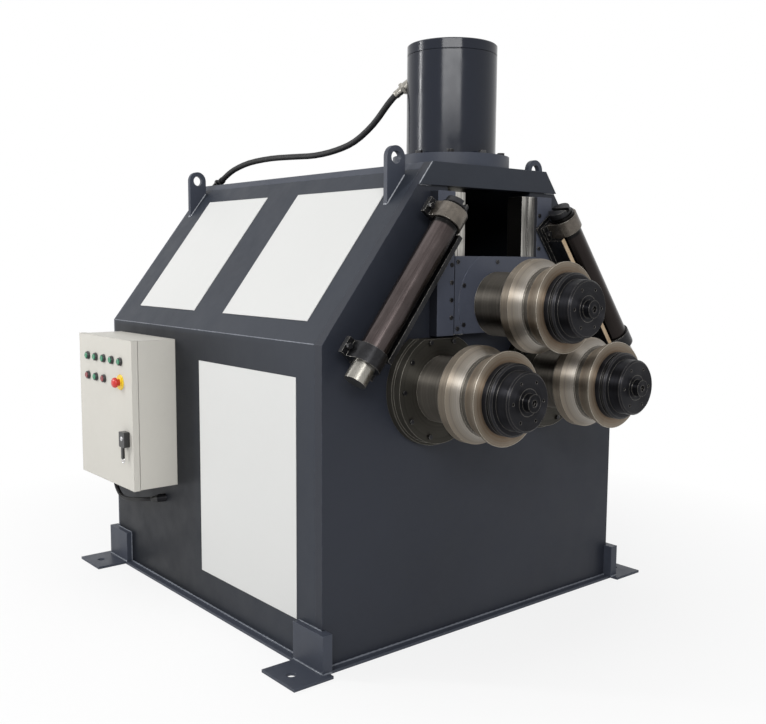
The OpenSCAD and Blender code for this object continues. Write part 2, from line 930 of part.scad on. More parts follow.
// Spindle: screw, thrust collar, journal and slotted drive dog
module spindle() {
    dog_low = post_l + head_l + face_gap;
    post_frame()
        difference() {
            rotate_extrude()
                polygon([[0, screw_low], [screw_r, screw_low], [screw_r, post_l - face_gap - thrust_l],
                         [thrust_r, post_l - face_gap - thrust_l], [thrust_r, post_l - face_gap],
                         [spindle_r, post_l - face_gap], [spindle_r, dog_low], [dog_r, dog_low],
                         [dog_r, dog_low + dog_l], [0, dog_low + dog_l]]);
            block([-dog_slot / 2, -dog_r - cut_over, dog_low + dog_l - dog_slot_depth],
                  [dog_slot / 2, dog_r + cut_over, dog_low + dog_l + cut_over]);
        }
}

module left_spindle() {
    color(black_steel)
        mirror([1, 0, 0])
            spindle();
}

module right_spindle() {
    color(black_steel)
        spindle();
}

// Ram: bored bar that slides in the tube
module ram() {
    ram_high = ram_l - ram_reach;
    post_frame()
        difference() {
            translate([0, 0, -ram_reach])
                cylinder(r = ram_r, h = ram_l);
            translate([0, 0, ram_high - ram_bore_l])
                cylinder(r = ram_bore_r, h = ram_bore_l + cut_over);
        }
}

module left_ram() {
    color(bright_steel)
        mirror([1, 0, 0])
            ram();
}

module right_ram() {
    color(bright_steel)
        ram();
}

module slide_block() {
    low = slide_low + block_inset;
    high = slide_top - block_inset;
    color(paint)
        difference() {
            union() {
                block([-block_half, front_y - face_back_d, low], [block_half, block_back, high]);
                block([-block_collar, rail_back + slide_gap, low], [block_collar, block_back, high]);
            }
            bar_y(shaft_bush_r, 0, upper_z, front_y - face_back_d - cut_over, block_back + cut_over);
        }
}

module slide_face() {
    low = [-face_half, front_y - face_front_d, slide_low];
    color(paint)
        difference() {
            union() {
                block(low, [face_half, front_y - face_back_d, slide_top]);
                intersection() {
                    bar_y(cover_r, 0, upper_z, front_y - cover_front_d, front_y - face_back_d);
                    block(low - [0, cover_t, 0], [face_half, front_y - face_back_d, slide_top]);
                }
            }
            bar_y(shaft_bush_r, 0, upper_z, front_y - cover_front_d - cut_over, front_y);
        }
}

module piston_rod() {
    low = slide_top - block_inset;
    color(bright_steel)
        translate([0, cylinder_y, 0])
            rotate_extrude()
                polygon([[0, low], [rod_r, low], [rod_r, piston_low], [bore_r - run_gap, piston_low],
                         [bore_r - run_gap, piston_low + piston_t], [0, piston_low + piston_t]]);
}

module slide_bolts() {
    color(black_steel) {
        for (x = [-face_bolt_x, face_bolt_x])
            for (z = [slide_low + face_bolt_edge, slide_top - face_bolt_edge])
                head_front(x, z, face_front_d, small_bolt_r, small_bolt_h);
        head_front(0, slide_top - face_bolt_edge, cover_front_d, small_bolt_r, small_bolt_h);
        for (a = cover_bolt_degs)
            head_front(cover_bolt_circle * cos(a), upper_z + cover_bolt_circle * sin(a), cover_front_d,
                       small_bolt_r, small_bolt_h);
    }
}

// Shaft profile from its front head back to the shoulder behind the rear spacer
function shaft_front(shoulder) = [[0, head_d], [head_r, head_d], [head_r, nut_end_d], [thread_r, nut_end_d],
    [thread_r, collar_d], [seat_r, collar_d], [seat_r, shoulder], [shaft_r, shoulder]];

module upper_shaft() {
    color(black_steel)
        difference() {
            turned(0, upper_z, concat(shaft_front(upper_shoulder),
                   [[shaft_r, -upper_back], [0, -upper_back]]));
            end_socket(0, upper_z);
        }
}

// Hexagon socket in a shaft's end head
module end_socket(x, z) {
    translate([x, front_y - head_d + socket_depth, z])
        rotate([90, 0, 0])
            cylinder(r = socket_r, h = socket_depth + cut_over, $fn = 6);
}

// Points of a gear outline with a tooth gap, or a tooth, on the X axis
function tooth(n, r, a) =
    let (half = PI * r / n * tooth_share,
         tip = r + tooth_addendum, root = r - tooth_dedendum,
         tip_half = half - tooth_addendum * tan(tooth_flank),
         root_half = half + tooth_dedendum * tan(tooth_flank),
         u = [cos(a), sin(a)], v = [-sin(a), cos(a)])
    [u * root - v * root_half, u * tip - v * tip_half, u * tip + v * tip_half, u * root + v * root_half];
function gear_outline(n, r, turn) = [for (i = [0:n - 1]) each tooth(n, r, turn + full_turn * i / n)];

module gear(x, n, r, turn, front, w) {
    translate([x, front + w, lower_z])
        rotate([90, 0, 0])
            linear_extrude(w)
                polygon(gear_outline(n, r, turn));
}

// Lower shaft on the right, with its gear
module lower_shaft() {
    journal_back = journal_end - front_y;
    gear_back = gear_front + gear_w - front_y;
    difference() {
        union() {
            turned(lower_x, lower_z, concat(shaft_front(lower_shoulder),
                   [[shaft_r, -gear_back], [journal_r, -gear_back], [journal_r, -journal_back],
                    [0, -journal_back]]));
            gear(lower_x, gear_teeth, gear_pitch_r, full_turn / gear_teeth / 2, gear_front, gear_w);
        }
        end_socket(lower_x, lower_z);
    }
}

module left_shaft() {
    color(black_steel)
        mirror([1, 0, 0])
            lower_shaft();
}

module right_shaft() {
    color(black_steel)
        lower_shaft();
}

module drive_pinion() {
    color(black_steel) {
        gear(0, pinion_teeth, pinion_pitch_r, 0, gear_front - pinion_over, gear_w + 2 * pinion_over);
        bar_y(pinion_journal_r, 0, lower_z, gear_front, journal_end);
    }
}

// Rear spacer and groove ring of one roll set
module spacers(x, z, shoulder) {
    turned(x, z, [[bore_fit, shoulder], [spacer_r, shoulder], [spacer_r, inner_d], [bore_fit, inner_d]]);
    turned(x, z, [[bore_fit, ring_d], [ring_r, ring_d], [ring_r, outer_d], [bore_fit, outer_d]]);
}

module inner_roll(x, z) {
    turned(x, z, [[bore_fit, inner_d], [rim_r, inner_d], [inner_r, rim_d], [inner_r, ridge_d],
                  [bevel_r, ring_d], [bore_fit, ring_d]]);
}

module outer_roll(x, z) {
    turned(x, z, [[bore_fit, outer_d], [outer_back_r, outer_d], [outer_r, outer_ridge_d], [outer_r, nut_d],
                  [bore_fit, nut_d]]);
}

// Lock nut: grooved collar, end and spanner holes
module lock_nut(x, z) {
    difference() {
        turned(x, z, [[bore_fit, nut_d], [collar_r, nut_d], [collar_r, nut_groove_d],
                      [collar_r - nut_groove_depth, nut_groove_d],
                      [collar_r - nut_groove_depth, nut_groove_d + nut_groove_w],
                      [collar_r, nut_groove_d + nut_groove_w], [collar_r, collar_d - nut_chamfer],
                      [collar_r - nut_chamfer, collar_d], [nut_r, collar_d], [nut_r, nut_end_d - nut_chamfer],
                      [nut_r - nut_chamfer, nut_end_d], [thread_r + run_gap, nut_end_d],
                      [thread_r + run_gap, collar_d], [bore_fit, collar_d]]);
        for (i = [0:pin_count - 1])
            let (a = i * full_turn / pin_count)
                bar_y(pin_hole_r, x + pin_circle * cos(a), z + pin_circle * sin(a),
                      front_y - nut_end_d - cut_over, front_y - nut_end_d + pin_hole_depth);
    }
}

module upper_spacers() { color(bright_steel) spacers(0, upper_z, upper_shoulder); }
module upper_inner_roll() { color(roll_steel) inner_roll(0, upper_z); }
module upper_outer_roll() { color(roll_steel) outer_roll(0, upper_z); }
module upper_lock_nut() { color(black_steel) lock_nut(0, upper_z); }
module left_spacers() { color(bright_steel) spacers(-lower_x, lower_z, lower_shoulder); }
module left_inner_roll() { color(roll_steel) inner_roll(-lower_x, lower_z); }
module left_outer_roll() { color(roll_steel) outer_roll(-lower_x, lower_z); }
module left_lock_nut() { color(black_steel) lock_nut(-lower_x, lower_z); }
module right_spacers() { color(bright_steel) spacers(lower_x, lower_z, lower_shoulder); }
module right_inner_roll() { color(roll_steel) inner_roll(lower_x, lower_z); }
module right_outer_roll() { color(roll_steel) outer_roll(lower_x, lower_z); }
module right_lock_nut() { color(black_steel) lock_nut(lower_x, lower_z); }

// Bar along X on the control box
module bar_x(r, y, z, low, high) {
    translate([low, y, z])
        rotate([0, 90, 0])
            cylinder(r = r, h = high - low);
}

module box_body() {
    color(box_paint) {
        difference() {
            block([box_face, box_front, box_low], [-half_w, box_rear, box_high]);
            block([box_face - cut_over, box_front + sheet_t, box_low + sheet_t],
                  [-half_w - sheet_t, box_rear - sheet_t, box_high - sheet_t]);
        }
        for (z = hinge_lows) {
            translate([hinge_x, hinge_y, z - hinge_arm_t])
                cylinder(r = hinge_pin_r, h = hinge_l + hinge_arm_t);
            block([hinge_x - hinge_pin_r, box_rear + door_lip + door_gap, z - hinge_arm_t],
                  [box_face + hinge_arm_w, hinge_y + hinge_pin_r, z - face_gap]);
            block([box_face, box_rear, z - hinge_arm_t],
                  [box_face + hinge_arm_w, hinge_y + hinge_pin_r, z - face_gap]);
        }
    }
}

module box_door() {
    back = box_face - door_gap;
    low = [door_face, box_front - door_lip, box_low - door_lip];
    high = [back, box_rear + door_lip, box_high + door_lip];
    color(box_paint)
        difference() {
            union() {
                difference() {
                    block(low, high);
                    block(low + [sheet_t, sheet_t, sheet_t], high - [-cut_over, sheet_t, sheet_t]);
                }
                for (p = button_places)
                    bar_x(bezel_r, p[0], p[1], door_face - bezel_h, door_face + sheet_t);
                bar_x(stop_collar_r, stop_place[0], stop_place[1], door_face - stop_collar_h,
                      door_face + sheet_t);
                for (z = hinge_lows)
                    difference() {
                        union() {
                            translate([hinge_x, hinge_y, z])
                                cylinder(r = hinge_eye_r, h = hinge_l);
                            block([hinge_x - hinge_eye_r, box_rear, z], [hinge_x, hinge_y, z + hinge_l]);
                        }
                        translate([hinge_x, hinge_y, z - cut_over])
                            cylinder(r = hinge_pin_r + run_gap, h = hinge_l + 2 * cut_over);
                    }
            }
            for (p = button_places)
                bar_x(button_r + run_gap, p[0], p[1], door_face - bezel_h - cut_over, door_face + door_t);
            bar_x(stop_stem_r + run_gap, stop_place[0], stop_place[1], door_face - stop_collar_h - cut_over,
                  door_face + door_t);
            bar_x(lock_stem_r + run_gap, lock_place[0], lock_place[1], door_face - cut_over,
                  door_face + door_t);
        }
}

module door_lock() {
    front = door_face - face_gap - lock_l;
    color(black_steel)
        translate([0, lock_place[0], lock_place[1]]) {
            hull()
                for (y = [-1, 1])
                    for (z = [-1, 1])
                        bar_x(lock_round, y * (lock_w / 2 - lock_round), z * (lock_h / 2 - lock_round),
                              front, door_face - face_gap);
            block([front, -lock_tail_w / 2, -lock_tail_l], [front + lock_tail_t, lock_tail_w / 2, 0]);
            bar_x(lock_stem_r, 0, 0, front, door_face + plunger_back);
        }
}

module emergency_stop() {
    head_back = door_face - stop_collar_h - stop_neck;
    color(red_cap)
        translate([0, stop_place[0], stop_place[1]]) {
            bar_x(stop_stem_r, 0, 0, head_back - stop_head_l, door_face + plunger_back);
            bar_x(stop_r, 0, 0, head_back - stop_head_l, head_back);
        }
}

// Push-button with its plunger through the door
module button(i) {
    p = button_places[i];
    cap_back = door_face - bezel_h - button_travel - face_gap;
    color(button_colours[i]) {
        bar_x(button_r, p[0], p[1], cap_back, door_face + plunger_back);
        bar_x(cap_r, p[0], p[1], cap_back - cap_h, cap_back);
    }
}

module button_1() { button(0); }
module button_2() { button(1); }
module button_3() { button(2); }
module button_4() { button(3); }
module button_5() { button(4); }
module button_6() { button(5); }
module button_7() { button(6); }
module button_8() { button(7); }

base_plate();
front_plate();
rear_plate();
housing_left();
housing_right();
top_plate();
header_beam();
cover_panels();
anchor_feet();
lifting_lugs();
keeper_plates();
guide_rails();
cylinder_flange();
cylinder_barrel();
cylinder_cap();
line_fittings();
hydraulic_hose();
bearing_flanges();
frame_bolts();
gear_motor();
pump_set();
post_brackets();
post_tubes();
box_body();
box_cable();
slide_block();
slide_face();
piston_rod();
slide_bolts();
upper_shaft();
upper_spacers();
upper_inner_roll();
upper_outer_roll();
upper_lock_nut();
left_shaft();
left_spacers();
left_inner_roll();
left_outer_roll();
left_lock_nut();
right_shaft();
right_spacers();
right_inner_roll();
right_outer_roll();
right_lock_nut();
drive_pinion();
left_spindle();
right_spindle();
left_ram();
right_ram();
box_door();
door_lock();
emergency_stop();
button_1();
button_2();
button_3();
button_4();
button_5();
button_6();
button_7();
button_8();
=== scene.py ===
import math

import bmesh
import bpy
from mathutils import Matrix, Vector


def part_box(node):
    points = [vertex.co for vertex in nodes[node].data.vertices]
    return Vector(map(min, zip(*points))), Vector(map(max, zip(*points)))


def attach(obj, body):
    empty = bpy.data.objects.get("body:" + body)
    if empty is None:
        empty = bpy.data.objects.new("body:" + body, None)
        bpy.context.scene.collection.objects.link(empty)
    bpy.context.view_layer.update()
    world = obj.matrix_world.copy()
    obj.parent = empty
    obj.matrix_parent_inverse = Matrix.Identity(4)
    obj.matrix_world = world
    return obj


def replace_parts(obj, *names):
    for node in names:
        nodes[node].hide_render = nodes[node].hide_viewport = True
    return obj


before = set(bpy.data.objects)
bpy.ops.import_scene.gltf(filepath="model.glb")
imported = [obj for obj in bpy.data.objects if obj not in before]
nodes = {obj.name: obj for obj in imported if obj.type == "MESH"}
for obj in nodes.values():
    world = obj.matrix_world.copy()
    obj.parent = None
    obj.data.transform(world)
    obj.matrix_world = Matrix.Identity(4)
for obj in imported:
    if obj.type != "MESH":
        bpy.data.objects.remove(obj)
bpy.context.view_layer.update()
scene = bpy.context.scene
collection = scene.collection

# Camera, fitted to the housing's edges and feet: degrees, metres, and millimetres of lens and sensor
CAMERA_YAW, CAMERA_PITCH, CAMERA_ROLL = 39.80, 6.28, 0.36
CAMERA_PLACE = (-2.533, -3.2253, 1.3752)
CAMERA_LENS, CAMERA_SENSOR, CAMERA_REACH = 44.0, 36, 100

# Millimetres in a metre
METRE = 1000


# Places of the solids at rest, in whole millimetres
def whole(place):
    """Vector in whole millimetres from one in metres."""
    return Vector([round(v * METRE) for v in place])


def lowest(node):
    return whole(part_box(node)[0])


def highest(node):
    return whole(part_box(node)[1])


def middle(node):
    low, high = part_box(node)
    return whole((low + high) / 2)


FRONT, INNER_FRONT = lowest("front_plate").y, highest("front_plate").y
INNER_REAR, REAR = lowest("rear_plate").y, highest("rear_plate").y
HALF_W, BASE_TOP, TOP_Z = highest("front_plate").x, highest("base_plate").z, highest("top_plate").z
HEADER_Z, CYLINDER_Y = lowest("header_beam").z, middle("cylinder_barrel").y
ROLLS = {side: middle(f"{side}_shaft") for side in ("upper", "left", "right")}

# Places that no box of a solid gives, in millimetres
SHOULDER_Z, HALF_TOP = 1097, 295
SLOPE = math.atan2(HALF_W - HALF_TOP, TOP_Z - SHOULDER_Z)
POST_X, POST_Z = 636, 1081

# Corner uprights of the feet and lifting lugs, where welds follow them, in millimetres
UPRIGHT_AHEAD, UPRIGHT_TAIL, UPRIGHT_OUT, UPRIGHT_IN = 40, 135, 25, 12
UPRIGHT_TOP = highest("anchor_feet").z
LUG_HALF, LUG_HIGH, LUG_LOW = 10, (326, 1672), (406, 1567)
LUG_ROWS = (lowest("lifting_lugs").y + LUG_HALF, highest("lifting_lugs").y - LUG_HALF)

# Weld beads in millimetres: radius, step of the ripples and how far they stand out
FLOOR_BEAD, SEAM_BEAD, FOOT_BEAD, LUG_BEAD, HEADER_BEAD, HEADER_SIDE_BEAD = 5, 2.5, 4, 4, 4, 3
BEAD_STEP, LUG_STEP, LUG_END_STEP = 9, 6, 4
BEAD_OUT, HEADER_OUT, HEADER_SIDE_OUT, SEAM_GAP = 1, 2, 6, 2

# Ripples of a bead: shares of its radius, and turns in radians per step
MEAN_SHARE, RIPPLE_SHARE, DRIFT_SHARE, END_SHARE = 0.82, 0.18, 0.1, 0.3
RIPPLE_PACE, DRIFT_PACE, DRIFT_START = 2.1, 0.37, 1
BEAD_SIDES = 6

# Controls on the door, which faces -X, in millimetres
OUTWARD = (-1, 0, 0)
# The solid's bezels rise above the door's face; the lock's axis is below its top, its barrel above the axis
BEZEL_RISE, LOCK_DROP, BARREL_RISE = 4, 31, 4
BUTTON_COUNT, RED_BUTTONS = 8, (5, 7)
KEY_RING_PLACE, KEY_RING_R, KEY_WIRE_R = (7, 1, -84), 11, 1.9
KEY_RING_STEPS, KEY_WIRE_SIDES = 36, 8


def on_door(node):
    """Place on the door's face under the middle of a control."""
    place = middle(node)
    place.x = lowest("box_door").x + BEZEL_RISE
    return place


BUTTONS = [on_door(f"button_{i + 1}") for i in range(BUTTON_COUNT)]
STOP = on_door("emergency_stop")
LOCK = Vector((lowest("door_lock").x, middle("door_lock").y, highest("door_lock").z - LOCK_DROP))

# Turned profiles: radius and height along the axis, in millimetres
BEZEL = [(12.4, 0.2), (17.5, 0.2), (17.5, 3), (16.2, 4.2), (15.6, 10), (14.8, 11), (13, 11), (12.4, 10.4)]
CAP = [(0, 13), (7.5, 13), (8.2, 13.8), (10.6, 14), (11.8, 13.2), (12, 12), (12, 8), (11, 8), (11, -28),
       (0, -28)]
COLLAR = [(13.6, 0.2), (31, 0.2), (31, 3.4), (29.4, 5), (20, 5.4), (17, 8), (14.4, 8), (13.6, 7)]
STOP_HEAD = [(0, 36), (9, 35.6), (14.5, 34), (18.5, 31.2), (20.6, 27.6), (21, 24), (20.2, 20.4),
             (18, 17.4), (15, 16), (13, 16), (13, -28), (0, -28)]
LOCK_BARREL = [(0, 2.4), (7.6, 2.4), (9, 1.6), (9.6, 0.2), (9.6, -3), (0, -3)]
FERRULE = [(12.6, 0), (15, 0.5), (15.6, 2), (15.6, 14), (14.4, 15.5), (14.4, 17), (15.6, 18.5), (15.6, 28),
           (14, 33), (13.2, 34), (12.6, 33)]
HOSE_NUT = [(20.1, 0), (23, 0.5), (24.5, 3), (24.5, 13), (23, 15.5), (20.1, 16)]
BOOT = [(9.2, 0), (14.5, 0.5), (15, 3), (13.4, 5), (13.8, 8), (12.2, 11), (12.6, 14), (11, 18), (11.2, 21),
        (10, 28), (9.2, 29)]
LATHE_SIDES, STOP_SIDES, NUT_SIDES = 40, 56, 6

# Angles in degrees past which an edge stays sharp
TURNED_SHARP, ROUND_SHARP, NUT_SHARP = 35, 60, 20

# Hose and cable along the routes of the solids: points in millimetres, diameters in metres
HOSE = [(-124, 146, 307), (-137, 54, 288), (-148, -25, 255), (-155, -58, 187), (-160, -62, 132),
        (-168, -60, 106), (-180, -43, 95), (-194, -18, 99), (-212, 17, 102), (-230, 52, 93),
        (-243, 52, 69), (-251, 10, 38), (-256, -60, 12)]
CABLE = [(-85, -93, -14), (-85, -93, -22), (-85, -93, -30), (-85, -97, -55), (-84, -108, -77),
         (-83, -126, -95), (-82, -148, -106), (-81, -174, -110), (-80, -207, -108), (-77, -240, -104),
         (-74, -272, -98), (-71, -302, -93), (-66, -327, -89), (-55, -349, -86), (-39, -367, -83),
         (-24, -378, -81)]
HOSE_D, HOSE_SMOOTH, CABLE_D, CABLE_SMOOTH, CORD_SIDES = 0.025, 3, 0.018, 2, 20
HOSE_STEP = (INNER_REAR - CYLINDER_Y) / (len(HOSE) - 1)

# The cable's points count from the control box's lower rear corner at the wall
BOX_INSET = 60
BOX_CORNER = Vector((-HALF_W, INNER_REAR - BOX_INSET, lowest("box_body").z))
hose_route = [Vector((x, y + CYLINDER_Y + HOSE_STEP * i, z + TOP_Z)) for i, (x, y, z) in enumerate(HOSE)]
cable_route = [Vector(p) + BOX_CORNER for p in CABLE]


def make_camera():
    yaw, pitch, roll = (math.radians(a) for a in (CAMERA_YAW, CAMERA_PITCH, CAMERA_ROLL))
    ahead = Vector((math.sin(yaw) * math.cos(pitch), math.cos(yaw) * math.cos(pitch), -math.sin(pitch)))
    right = Vector((math.cos(yaw), -math.sin(yaw), 0))
    up = right.cross(ahead)
    side = right * math.cos(roll) + up * math.sin(roll)
    top = up * math.cos(roll) - right * math.sin(roll)
    data = bpy.data.cameras.new("camera")
    data.sensor_width = CAMERA_SENSOR
    data.lens = CAMERA_LENS
    data.clip_end = CAMERA_REACH
    camera = bpy.data.objects.new("camera", data)
    turn = Matrix((side, top, -ahead)).transposed().to_4x4()
    camera.matrix_world = Matrix.Translation(CAMERA_PLACE) @ turn
    collection.objects.link(camera)
    scene.camera = camera


make_camera()


# Forms
def circle(sides):
    """Cosine and sine of each step round a circle."""
    turns = [2 * math.pi * k / sides for k in range(sides)]
    return [(math.cos(a), math.sin(a)) for a in turns]


def skin(mesh, low, high):
    """Adds the faces between two closed loops of as many points."""
    for k in range(len(low)):
        n = (k + 1) % len(low)
        mesh.faces.new((low[k], low[n], high[n], high[k]))


def link_mesh(name, mesh, sharp):
    """Object from a finished bmesh in metres, smooth up to an angle in degrees."""
    data = bpy.data.meshes.new(name)
    mesh.to_mesh(data)
    mesh.free()
    data.polygons.foreach_set("use_smooth", [True] * len(data.polygons))
    data.set_sharp_from_angle(angle=math.radians(sharp))
    piece = bpy.data.objects.new(name, data)
    collection.objects.link(piece)
    return piece


def add_piece(name, mesh, look, body, sharp=TURNED_SHARP):
    """Object from a finished bmesh in metres that rides on a body."""
    bmesh.ops.recalc_face_normals(mesh, faces=mesh.faces[:])
    piece = link_mesh(name, mesh, sharp)
    piece.data.materials.append(look)
    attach(piece, body)
    return piece


def axis_turn(origin, axis):
    """Places a piece made about Z at an origin in millimetres, its Z along an axis."""
    turn = Vector(axis).normalized().to_track_quat("Z", "Y").to_matrix().to_4x4()
    return Matrix.Translation(Vector(origin) / METRE) @ turn


def lathe(origin, axis, profile, sides=LATHE_SIDES):
    """Turned form along a profile in millimetres; a zero radius closes an end."""
    mesh = bmesh.new()
    put = axis_turn(origin, axis)
    rings = []
    for radius, height in profile:
        if radius == 0:
            rings.append([mesh.verts.new(put @ Vector((0, 0, height / METRE)))])
        else:
            rings.append([mesh.verts.new(put @ (Vector((radius * c, radius * s, height)) / METRE))
                          for c, s in circle(sides)])
    for low, high in zip(rings, rings[1:]):
        if len(low) == len(high):
            skin(mesh, low, high)
            continue
        for k in range(sides):
            n = (k + 1) % sides
            if len(low) == 1:
                mesh.faces.new((low[0], high[k], high[n]))
            else:
                mesh.faces.new((low[k], low[n], high[0]))
    return mesh


def closed(profile):
    """Profile that ends where it starts."""
    return profile + profile[:1]


def ripple_bead(mesh, start, end, radius, step=BEAD_STEP):
    """Adds a weld bead in millimetres: overlapping ripples along a line."""
    a, b = Vector(start), Vector(end)
    along = (b - a).normalized()
    side = along.orthogonal().normalized()
    up = along.cross(side)
    count = max(int((b - a).length / step), 2)
    last = None
    for i in range(count + 1):
        ripple = RIPPLE_SHARE * math.sin(RIPPLE_PACE * i)
        drift = DRIFT_SHARE * math.sin(DRIFT_PACE * i + DRIFT_START)
        size = radius * (END_SHARE if i in (0, count) else MEAN_SHARE + ripple + drift)
        centre = a.lerp(b, i / count)
        ring = [mesh.verts.new((centre + (side * c + up * s) * size) / METRE) for c, s in circle(BEAD_SIDES)]
        if last:
            skin(mesh, last, ring)
        else:
            mesh.faces.new(ring[::-1])
        last = ring
    mesh.faces.new(last)


# Hose and cable
def smooth_route(route, steps):
    """Points on the smooth curve through a route in millimetres, as vectors in metres."""
    p = [q / METRE for q in route]
    points = []
    for i in range(len(p) - 1):
        a, b, c, d = p[max(i - 1, 0)], p[i], p[i + 1], p[min(i + 2, len(p) - 1)]
        for s in range(steps):
            t = s / steps
            points.append(0.5 * (2 * b + (c - a) * t + (2 * a - 5 * b + 4 * c - d) * t * t
                                 + (3 * b - 3 * c + d - a) * t * t * t))
    return points + [p[-1]]


def tube_mesh(name, points, diameter):
    """Round tube of a diameter along points in metres, closed at both ends."""
    mesh = bmesh.new()
    rings = []
    across = None
    for i, place in enumerate(points):
        along = (points[min(i + 1, len(points) - 1)] - points[max(i - 1, 0)]).normalized()
        across = (across - along * across.dot(along) if across else along.orthogonal()).normalized()
        up = along.cross(across)
        rings.append([mesh.verts.new(place + (across * c + up * s) * diameter / 2)
                      for c, s in circle(CORD_SIDES)])
    for low, high in zip(rings, rings[1:]):
        skin(mesh, low, high)
    mesh.faces.new(rings[0][::-1])
    mesh.faces.new(rings[-1])
    return link_mesh(name, mesh, ROUND_SHARP)


def make_cord(name, route, steps, diameter, node):
    points = smooth_route(route, steps)
    piece = tube_mesh(name, points, diameter)
    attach(piece, "frame")
    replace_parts(piece, node)
    return piece


hose = make_cord("hose_line", hose_route, HOSE_SMOOTH, HOSE_D, "hydraulic_hose")
cable = make_cord("cable_line", cable_route, CABLE_SMOOTH, CABLE_D, "box_cable")

# Noise patterns of the materials: scale, detail and roughness
PAINT_CLOUDS, PAINT_SPECKS, PAINT_SCUFFS = (2.2, 4, 0.55), (38, 4, 0.6), (26, 5, 0.7)
PAINT_SHEEN, ORANGE_PEEL = (9, 4, 0.6), (260, 2, 0.5)
STEEL_GRAIN, STEEL_STAINS = (220, 3, 0.6), (7, 5, 0.62)
RAIL_STREAKS, RAIL_STAINS = (90, 4, 0.65), (14, 5, 0.7)
TURNED_RINGS, TURNED_BANDS, TURNED_STAINS = (300, 3, 0.65), (110, 4, 0.7), (8, 5, 0.62)
TUBE_STREAKS, TUBE_STAINS = (260, 4, 0.6), (9, 5, 0.62)
SADDLE_STAINS, SADDLE_RUBS = (16, 5, 0.65), (120, 4, 0.6)
OXIDE_STAINS, OXIDE_CHIPS, OXIDE_GRAIN = (11, 5, 0.65), (60, 5, 0.75), (180, 3, 0.6)
RUBBER_WEAVE, RUBBER_DUST = (300, 2, 0.5), (14, 4, 0.6)
PLASTIC_TONE, PLASTIC_SHEEN, PLASTIC_GRAIN = (60, 4, 0.6), (90, 3, 0.6), (700, 2, 0.5)
PAPER_TONE = (3, 3, 0.5)

# Span that most of a pattern's values lie in
USUAL = (0.3, 0.7)

# Where materials change, in metres: a pair runs from nothing to all of the change
SHADE_FRONT, SHADE_REAR, SHADE_BAND = -0.75, 0.2, 0.02
FITTING_LOW, FITTING_REAR = (0.61, 0.59), (0.29, 0.31)
TUBE_SHADED_SIDE, TUBE_HEAD_SHADE, TUBE_SHADED_HALF = (0.03, -0.046), (0.494, 0.5), (-0.01, 0.01)
SADDLE_ROUND, SADDLE_FRONT, SADDLE_UPPER = (0.059, 0.057), (-0.862, -0.866), (0.514, 0.516)
WEB_SIDE, WEB_FRONT, WEB_HALF = (-0.0565, -0.0575), (-0.916, -0.918), (0, 0.01)

# Cosines between rounded and flat normals that run from no edge to a full one
EDGE_COSINES = (0.995, 0.85)
BEVEL_SAMPLES = 4
QUARTER_TURN = 0.25

# Sockets of a mix node that blends colours
MIX_SHARE, MIX_FIRST, MIX_SECOND, MIX_RESULT = 0, 6, 7, 2


